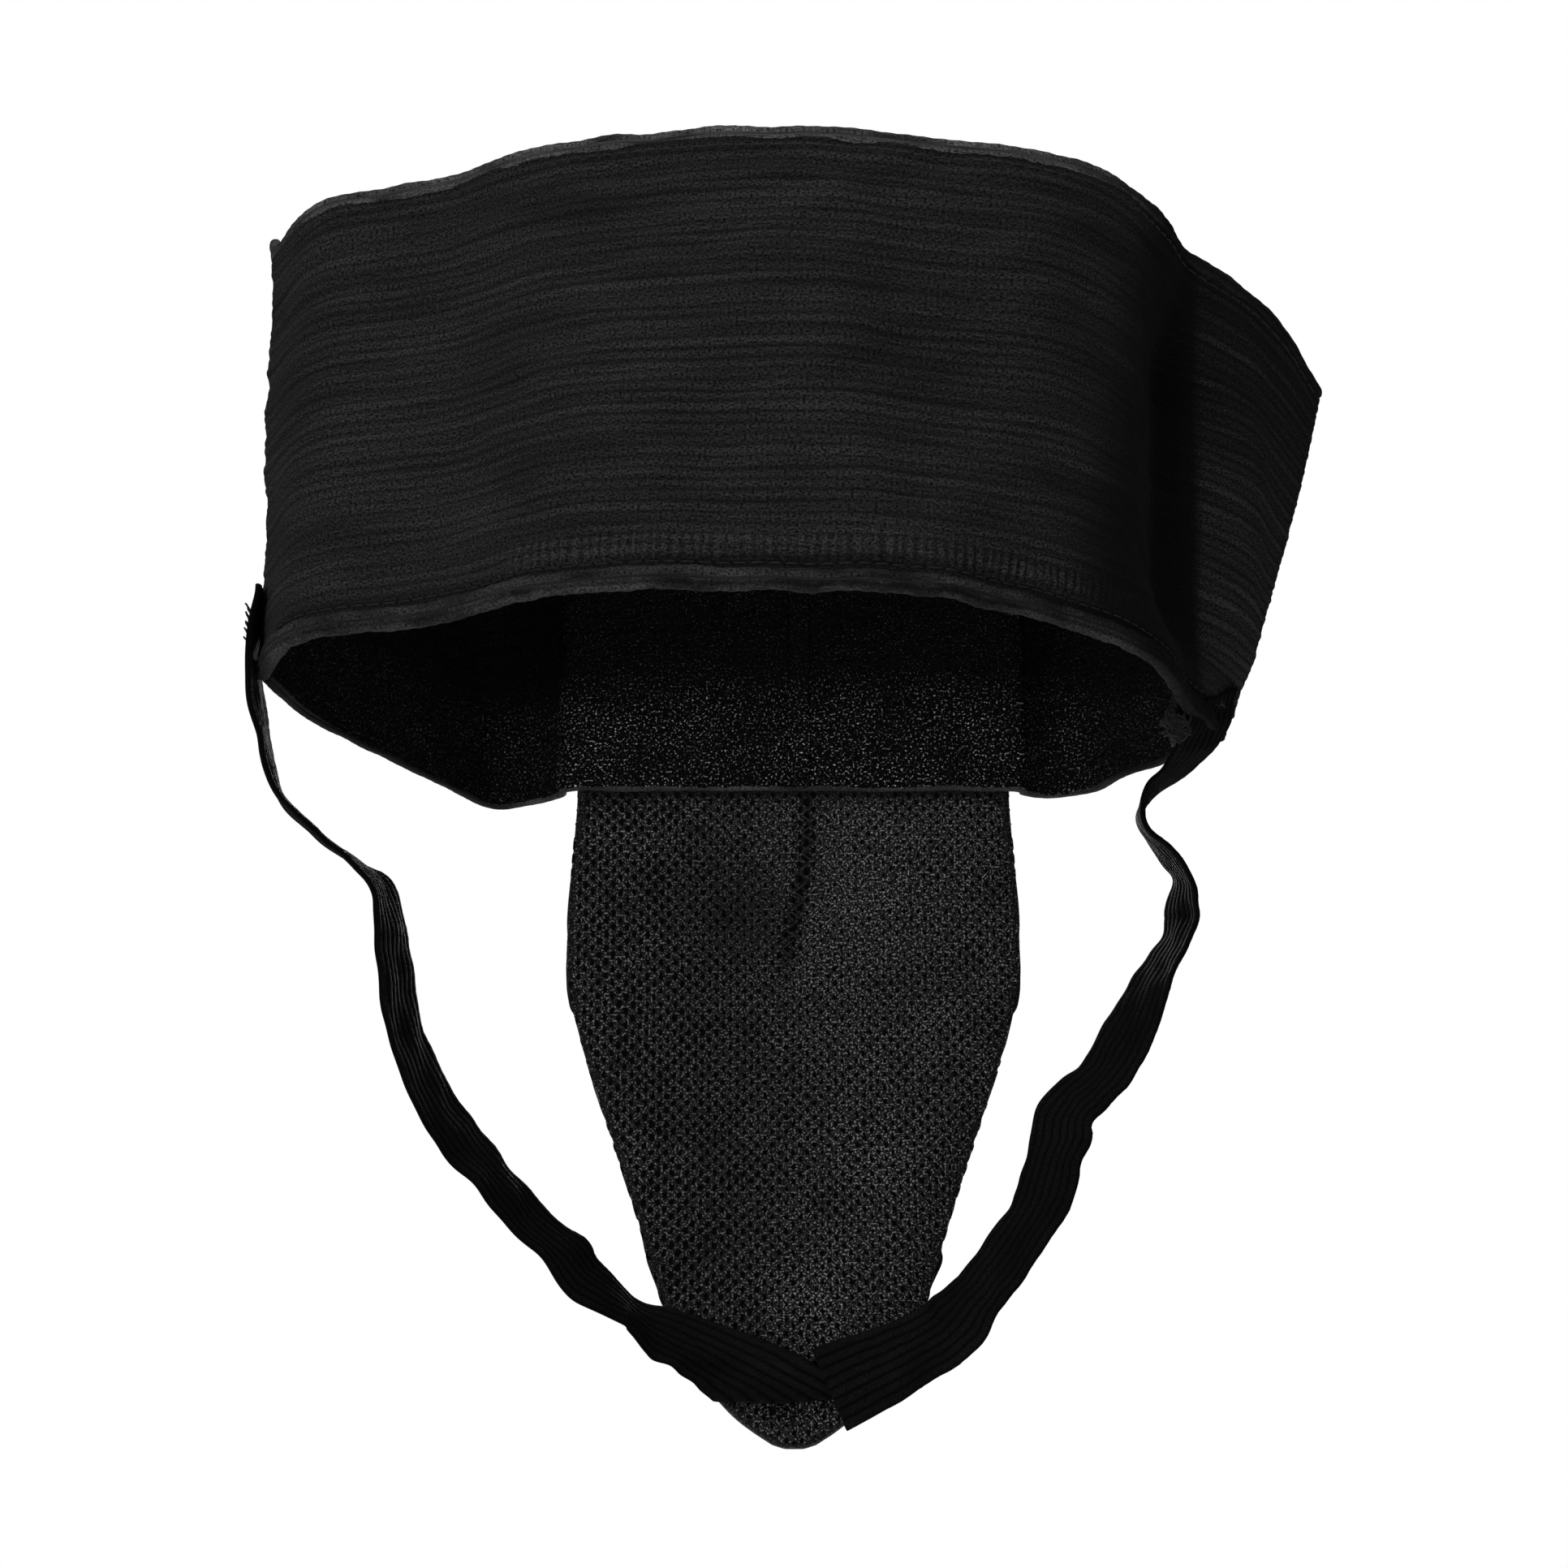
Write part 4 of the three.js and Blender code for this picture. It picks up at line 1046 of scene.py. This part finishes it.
def blown(grid, pressure=4.0, cap=1.8 * MM, frames=20):
    """Cloth simulation of a sheet held at its border and pressed out from inside. Returns the moved grid."""
    rows, columns = grid.shape[:2]
    number = np.arange(rows * columns).reshape(rows, columns)
    around = [number[:-1, :-1], number[:-1, 1:], number[1:, 1:], number[1:, :-1]]
    faces = np.stack(around, axis=-1).reshape(-1, 4)
    mesh = bpy.data.meshes.new("blown")
    mesh.from_pydata(grid.reshape(-1, 3).tolist(), [], faces.tolist())
    obj = bpy.data.objects.new("blown", mesh)
    bpy.context.scene.collection.objects.link(obj)
    border = np.unique(np.concatenate([number[0], number[-1], number[:, 0], number[:, -1]]))
    obj.vertex_groups.new(name="held").add(border.tolist(), 1.0, "REPLACE")
    cloth = obj.modifiers.new("Cloth", "CLOTH")
    cloth.settings.vertex_group_mass = "held"
    cloth.settings.use_pressure = True
    cloth.settings.uniform_pressure_force = pressure
    cloth.settings.shrink_min = -0.05
    cloth.settings.effector_weights.gravity = 0
    cloth.settings.quality = 6
    cloth.point_cache.frame_end = frames
    for frame_number in range(1, frames + 1):
        bpy.context.scene.frame_set(frame_number)
    moved_mesh = obj.evaluated_get(bpy.context.evaluated_depsgraph_get()).data
    moved = np.empty(rows * columns * 3)
    moved_mesh.vertices.foreach_get("co", moved)
    bpy.data.objects.remove(obj)
    bpy.context.scene.frame_set(1)
    row_inset = np.minimum(np.arange(rows), np.arange(rows)[::-1])
    column_inset = np.minimum(np.arange(columns), np.arange(columns)[::-1])
    free = smooth(np.minimum.outer(row_inset, column_inset), 0, 9)
    step = (moved.reshape(grid.shape) - grid) * free[..., None]
    step[..., 1] = np.minimum(step[..., 1], 0)
    size = np.linalg.norm(step, axis=2, keepdims=True)
    return grid + step * np.minimum(1, cap / np.maximum(size, 1e-9))


def grid_normals(grid):
    return unit(np.cross(np.gradient(grid, axis=1), np.gradient(grid, axis=0)))


def cover_grid(face):
    """The cover's outer face: the CAD dome carried up to the band, filled out, and closed at its sides."""
    dome = layer_grid("pouch_outer_cover")[0]
    top = dome[-1:].copy()
    top[..., 2] = face.top
    grid = finer_grid(np.vstack([dome, top]), 80, 60)
    grid = blown(grid)
    left = side_wall(face, grid[:, 0])
    right = side_wall(face, grid[:, -1])
    return np.concatenate([left, grid, right[:, ::-1]], axis=1)


def side_wall(face, border):
    """Columns of points from the lining's long edge out to the border of the cover's dome."""
    foot = border.copy()
    foot[:, 0] -= np.sign(border[:, 0]) * 1.2 * MM
    foot[:, 1] = np.maximum(border[:, 1], face.depth(border[:, 0], border[:, 2]) - 3.0 * MM)
    share = np.linspace(0, 1, 8, endpoint=False)[None, :, None]
    return foot[:, None] * (1 - share) + border[:, None] * share


def build_cover(face, cloth, thread):
    outer = finer_grid(cover_grid(face), COVER_ROWS, COVER_COLUMNS)
    normal = grid_normals(outer)
    if normal[COVER_ROWS // 2, COVER_COLUMNS // 2, 1] > 0:
        normal = -normal
    steps = np.linalg.norm(np.diff(outer, axis=1), axis=2)
    across = np.pad(np.cumsum(steps, axis=1), ((0, 0), (1, 0)))
    across -= across[:, [COVER_COLUMNS // 2]]
    x, z = outer[..., 0], outer[..., 2]
    inset = face.half_width(z) - np.abs(x)
    channel = bell(inset, 6.5 * MM, 1.1 * MM) * smooth(inset, 2 * MM, 5 * MM)
    wobble = 0.4 * MM * ripple(x, z, 9 * MM, 91)
    puckers = bell(inset, 8 * MM, 6 * MM) * np.sin(2 * math.pi * (z + wobble) / (5.2 * MM))
    creases = 0.25 * MM * ripple(x, z, 17 * MM, 92)
    padding = 0.7 * MM * smooth(inset, -1 * MM, 4 * MM)
    relief = padding + creases - 0.7 * MM * channel + 0.22 * MM * puckers
    outer = outer + normal * relief[..., None]
    lining = face.depth(x, z) + face.relief(x, z)
    outer[..., 1] = np.minimum(outer[..., 1], lining - 3.0 * MM)
    inner = outer - normal * 1.1 * MM
    obj = sheet("pouch_cover_cloth", outer, inner, np.stack([across, z], axis=2), [cloth])
    hung(obj, "cover", "pouch_outer_cover")
    cover_stitches(outer, inset, thread)


def cover_stitches(outer, inset, thread):
    """Topstitching along the cover's channel, 6.5 mm in from each long edge."""
    paths = []
    for columns in (range(outer.shape[1] // 2), range(outer.shape[1] - 1, outer.shape[1] // 2, -1)):
        columns = list(columns)
        line = []
        for row in np.flatnonzero(inset.max(axis=1) > 9 * MM)[:-1]:
            place = np.interp(6.5 * MM, inset[row, columns], np.arange(len(columns)))
            k = int(place)
            share = place - k
            line.append(outer[row, columns[k]] * (1 - share) + outer[row, columns[k + 1]] * share)
        line = np.array(line)
        places, along = even_places(line, 0.4 * MM)
        fine = spline(line, places)
        for start in np.arange(2 * MM, along[-1] - 3 * MM, 3.6 * MM):
            share = np.linspace(0, 1, 6)
            at = start + share * 2.7 * MM
            thread_path = np.stack([np.interp(at, along, fine[:, k]) for k in range(3)], axis=1)
            thread_path[:, 1] -= 0.1 * MM + 0.22 * MM * np.sin(math.pi * share)
            paths.append(thread_path)
    bent_at_hem(tubes("pouch_cover_stitches", paths, [thread], 0.22 * MM, side=(0, 1, 0)))


def build_pouch(cloths):
    face = BodyFace()
    mesh_lining(face, cloths["net"], cloths["net_ground"])
    for side in (1, -1):
        edge_seam(face, side, cloths["edge"])
    dart_stitches(face, cloths["dark_thread"])
    build_cover(face, cloths["cover"], cloths["thread"])
    foam = refined("pouch_foam_pad", "foam_pad", cloths["foam"], 0.12 * MM, seed=95)
    placed(foam, "pouch", "foam", "pouch_foam_pad")
    cushion = refined("cup_rim_cushion", "rim_cushion_ring", cloths["cushion"], 0.1 * MM, seed=96)
    placed(cushion, "pouch", "cushion", "cup_rim_cushion")
    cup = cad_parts["protective_cup"]
    cup.data.materials.clear()
    cup.data.materials.append(cloths["cup"])
    cup.data.shade_smooth()
    cup.data.set_sharp_from_angle(angle=math.radians(40))


# ---------------------------------------------------------------- leg straps
def web_rows(name, start, width=20 * MM):
    """Rows (edge, middle, other edge) across a CAD web, in order from the row nearest to start."""
    points = middles(corners(name), 1.3 * MM)
    apart = np.linalg.norm(points[:, None] - points[None], axis=2)
    first, second = np.nonzero(np.triu(np.abs(apart - width) < 0.15 * MM))
    centres = (points[first] + points[second]) / 2
    near = np.linalg.norm(centres[:, None] - points[None], axis=2).min(axis=1) < 0.15 * MM
    rows = np.stack([points[first], centres, points[second]], axis=1)[near]
    order = chain(rows[:, 1], start, len(rows))
    numbers = [int(np.linalg.norm(rows[:, 1] - place, axis=1).argmin()) for place in order]
    return rows[numbers]


def web_lines(leg, sewn):
    """One edge, the middle and the other edge of a strap from its tack to its sewn end, as (rows, 3, 3)."""
    points = corners(leg)
    leg_rows = web_rows(leg, points[points[:, 2].argmax()])
    rows = np.concatenate([leg_rows, web_rows(sewn, leg_rows[-1, 1])])
    for k in range(1, len(rows)):
        if np.linalg.norm(rows[k, 0] - rows[k - 1, 0]) > np.linalg.norm(rows[k, 2] - rows[k - 1, 0]):
            rows[k] = rows[k, ::-1]
    return rows


def sewn_top(lines, rows, dropped):
    """Starts a strap with rows (edge, other edge), in mm from the waist, in place of its first ones."""
    ends = WAIST + np.array(rows) * MM
    top = np.stack([ends[:, 1], ends.mean(axis=1), ends[:, 0]], axis=1)
    return np.concatenate([top, lines[dropped:]])


def cut_level(lines, height, longer=15 * MM, last=16):
    """Runs the web on a little, under the other strap, and cuts it off level at a height."""
    way = unit(lines[-1, 1] - lines[-4, 1]) - np.array([0, 0.12, 0])
    added = lines[-1][None] + way * np.linspace(0.1, 1, 10)[:, None, None] * longer
    whole = np.concatenate([lines, added])
    start = len(lines) - last
    ends = []
    for k in range(3):
        line = whole[start:, k]
        under = np.flatnonzero(line[:, 2] < height)
        stop = len(line) - 1
        if len(under):
            above, below = line[under[0] - 1, 2], line[under[0], 2]
            stop = under[0] - 1 + (above - height) / (above - below)
        ends.append(spline(line, np.linspace(0, stop, last + 6)))
    return np.concatenate([lines[:start], np.stack(ends, axis=1)])


def web_strap(name, lines, cloth, kinks, seed):
    """A ribbed elastic web. Kinks are soft creases: (distance from the top, length, rise, slant)."""
    middle = lines[:, 1]
    places, along = even_places(middle, 0.8 * MM)
    left, centre, right = (spline(lines[:, k], places)[:, None] for k in range(3))
    w = np.linspace(-1, 1, 8 * STRAP_RIBS + 1)[None, :, None]
    surface = centre + w * (right - left) / 2 + w * w * ((left + right) / 2 - centre)
    u, across = np.meshgrid(along, w.ravel(), indexing="ij")
    normal = grid_normals(surface)
    wave = 0.5 * MM * ripple(u, across * 6 * MM, 30 * MM, seed)
    wave = wave + 0.22 * MM * ripple(u, across * 9 * MM, 9 * MM, seed + 1)
    for place, length, rise, slant in kinks:
        wave = wave + rise * bell(u + slant * across, place, length)
    cord = 0.42 * MM * ridge((across + 1) / 2 * STRAP_RIBS) * (1 - 0.15 * across**2)
    edge = np.sqrt(np.clip(1 - np.abs(across) ** 14, 0, 1))
    half = (0.38 * MM + cord) * (0.25 + 0.75 * edge)
    fine = 0.04 * MM * ripple(u, across * 10 * MM, 1.5 * MM, seed + 2, waves=20)
    outer = surface + normal * (wave + half + fine)[..., None]
    inner = surface + normal * (wave - half)[..., None]
    return sheet(name, outer, inner, np.stack([u, across * 10 * MM], axis=2), [cloth])


def build_straps(cloths):
    left_kinks = [(170 * MM, 5 * MM, 1.5 * MM, 4 * MM), (197 * MM, 6 * MM, -1.6 * MM, -4 * MM)]
    right_kinks = [(121 * MM, 5 * MM, 2.2 * MM, 2 * MM), (166 * MM, 6 * MM, -1.0 * MM, 5 * MM)]
    sides = {
        "left": ((118, 8, -5), (37, -51, -129), left_kinks),
        "right": ((-88, -26, -6), (-42, -50, -126), right_kinks),
    }
    for side, (start, end, kinks) in sides.items():
        leg, sewn = f"{side}_leg_strap", f"{side}_strap_sewn_end"
        lines = web_lines(leg, sewn)
        if side == "left":
            lines = cut_level(lines, WAIST[2] - 149.5 * MM)
            lines[..., 0] -= 0.9 * MM * smooth(lines[..., 2] - WAIST[2], 0, 15 * MM)
        else:
            lines = sewn_top(lines, RIGHT_STRAP_TOP, dropped=21)
        web = web_strap(f"{side}_strap_web", lines, cloths["web"], kinks, seed=100 + len(side))
        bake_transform(web)
        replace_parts(web, leg, sewn)
        bar_tack(side, cloths["tack_thread"])


def bar_tack(side, thread):
    """One thread run to and fro over the strap's sewn top."""
    node_name = f"{side}_strap_bar_tack"
    low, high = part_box(node_name)
    passes = 9 if side == "left" else 6
    share = np.linspace(0, passes, passes * 8 + 1)
    sweep = np.abs(2 * (share / 2 - np.floor(share / 2)) - 1)
    y = low.y + (high.y - low.y) * sweep
    z = low.z + (high.z - low.z) * share / passes
    middle = (low.x + high.x) / 2
    x = np.full(len(share), middle - math.copysign(0.2 * MM, middle))
    path = np.stack([x, y, z], axis=1)
    path += 0.1 * MM * np.random.default_rng(7).normal(size=path.shape)
    paths = [path]
    if side == "right":
        paths += thread_clump(WAIST + np.array((-86, -9.5, -3.8)) * MM, np.array((3.2, 1.4, 3.2)) * MM)
    obj = tubes(f"{side}_bar_tack_thread", paths, [thread], 0.22 * MM, side=(1, 0, 0))
    placed(obj, "waistband", "thread", node_name)


def thread_clump(centre, size, threads=7, turns=14):
    """Tangled loops of loose thread in a rounded space."""
    rng = np.random.default_rng(12)
    paths = []
    for _ in range(threads):
        knots = centre + size * np.clip(rng.normal(size=(turns, 3)) * 0.55, -1.2, 1.2)
        paths.append(spline(knots, np.linspace(0, turns - 1, turns * 8)))
    return paths


# ---------------------------------------------------------------- hidden fillings
def foam_filling(name, light):
    cloth = Cloth(name, roughness=0.95, specular=0.15)
    tree = cloth.tree
    pores = cells(tree, cloth.where, 0.9 * MM)
    # painted shade in the middle of each pore
    shade = remap(tree, pores, 0.1, 0.6)
    return cloth.finish(shade, light * 0.4, light, pores, 0.3 * MM)


def cup_plastic():
    """Moulded polypropylene: milky, with a faint satin grain and scuffs."""
    cloth = Cloth("cup_plastic", roughness=0.38, specular=0.5)
    tree = cloth.tree
    place = node(tree, "ShaderNodeTexCoord").outputs["Object"]
    grain = noise(tree, place, 0.6 * MM, detail=2)
    scuffs = noise(tree, place, 12 * MM, (1, 1, 4), detail=4)
    rough = remap(tree, scuffs, 0.35, 0.65, 0.28, 0.5)
    tree.links.new(rough, cloth.shader.inputs["Roughness"])
    return cloth.finish(scuffs, 0.55, 0.68, grain, 0.03 * MM)


def plain_ground():
    """The dark spacer behind the open mesh."""
    cloth = Cloth("mesh_spacer", roughness=0.9, specular=0.1)
    tree = cloth.tree
    fibres = noise(tree, cloth.where, 0.5 * MM, detail=2)
    return cloth.finish(fibres, 0.0005, 0.004, fibres, 0.2 * MM)


def make_cloths():
    return {
        "elastic": elastic_cloth("ribbed_elastic"),
        "plush": plush_cloth("plush_lining"),
        # the folded hem and the piping are lighter grey partly by their own tone and partly as a painted
        # highlight along their edges
        "hem": hem_cloth("folded_hem", 0.005, 0.22),
        "welt": hem_cloth("welt_cloth", 0.003, 0.085),
        "tape": hem_cloth("seam_tape_cloth", 0.004, 0.06),
        "piping": hem_cloth("piping", 0.008, 0.12),
        "facing": facing_cloth(),
        "thread": thread_cloth("sewing_thread", 0.02, 0.09),
        "dark_thread": thread_cloth("dark_thread", 0.004, 0.02),
        "tack_thread": thread_cloth("tack_thread", 0.003, 0.025),
        "cover": cover_cloth(),
        "edge": net_cloth("pouch_edge_knit", 0.10),
        "net": net_cloth(),
        "net_ground": plain_ground(),
        "web": web_cloth(),
        "foam": foam_filling("foam_filling", 0.06),
        "cushion": foam_filling("cushion_filling", 0.05),
        "cup": cup_plastic(),
    }


# ---------------------------------------------------------------- studio
CAMERA_LENS = 64.55  # focal length in mm, on a 36 mm sensor
CAMERA_PLACE = (0.0023, 0.596, -0.1905)  # from the waist's middle: behind the wearer and below the band
CAMERA_TARGET = (0.0023, 0, -0.0196)
PALE = (0.86, 0.86, 0.86, 1)
WHITE = (1, 1, 1, 1)


def aimed(obj, target):
    obj.rotation_euler = (Vector(target) - obj.location).to_track_quat("-Z", "Y").to_euler()
    return obj


def studio_floor():
    bpy.ops.mesh.primitive_plane_add(size=8, location=(0, 0, -0.5))
    floor = bpy.context.object
    floor.name = "studio_floor"
    material = bpy.data.materials.new("pale_floor")
    material.use_nodes = True
    tree = material.node_tree
    shader = tree.nodes["Principled BSDF"]
    shader.inputs["Base Color"].default_value = PALE
    shader.inputs["Roughness"].default_value = 0.9
    shader.inputs["Emission Color"].default_value = PALE
    seen = node(tree, "ShaderNodeLightPath").outputs["Is Camera Ray"]
    tree.links.new(maths(tree, "MULTIPLY", seen, 0.75), shader.inputs["Emission Strength"])
    floor.data.materials.append(material)


def studio_world():
    """White to the camera, and a dimmer grey to everything else."""
    world = bpy.data.worlds.new("studio")
    world.use_nodes = True
    bpy.context.scene.world = world
    tree = world.node_tree
    tree.nodes.clear()
    path = node(tree, "ShaderNodeLightPath")
    seen = node(tree, "ShaderNodeBackground", {"Color": WHITE, "Strength": 1.0})
    lit = node(tree, "ShaderNodeBackground", {"Color": WHITE, "Strength": 0.012})
    inputs = {0: path.outputs["Is Camera Ray"], 1: lit.outputs[0], 2: seen.outputs[0]}
    mix = node(tree, "ShaderNodeMixShader", inputs)
    node(tree, "ShaderNodeOutputWorld", {"Surface": mix.outputs[0]})


def lamp(name, azimuth, elevation, distance, size, power):
    """A soft square light round the guard: azimuth 0 is in front of it and 180 behind it."""
    turn, rise = math.radians(azimuth), math.radians(elevation)
    way = Vector((math.sin(turn) * math.cos(rise), -math.cos(turn) * math.cos(rise), math.sin(rise)))
    data = bpy.data.lights.new(name, "AREA")
    data.size = size
    data.energy = power
    obj = bpy.data.objects.new(name, data)
    bpy.context.scene.collection.objects.link(obj)
    obj.location = Vector(WAIST) + way * distance
    return aimed(obj, WAIST)


def studio_lights():
    lamp("key", 157, -10, 0.9, 0.2, 2.6)
    lamp("top", 180, 75, 0.9, 0.6, 3)
    lamp("front", 0, 15, 1.0, 0.6, 12)
    lamp("left", 90, 0, 1.0, 0.5, 0.35)
    lamp("right", 270, 0, 1.0, 0.5, 0.25)


def studio_camera():
    data = bpy.data.cameras.new("camera")
    data.lens = CAMERA_LENS
    data.sensor_width = 36
    camera = bpy.data.objects.new("camera", data)
    bpy.context.scene.collection.objects.link(camera)
    camera.location = Vector(WAIST) + Vector(CAMERA_PLACE)
    aimed(camera, Vector(WAIST) + Vector(CAMERA_TARGET))
    bpy.context.scene.camera = camera


cloths = make_cloths()
back_wall = Wall("back_bottom_welt", "back_top_hem")
front_wall = Wall("front_hem_piping", "front_top_hem")
build_back(back_wall, cloths)
build_front(front_wall, cloths)
build_tapes(back_wall, front_wall, cloths)
build_pouch(cloths)
build_straps(cloths)
studio_floor()
studio_world()
studio_lights()
studio_camera()
bpy.context.scene.view_settings.view_transform = "Standard"
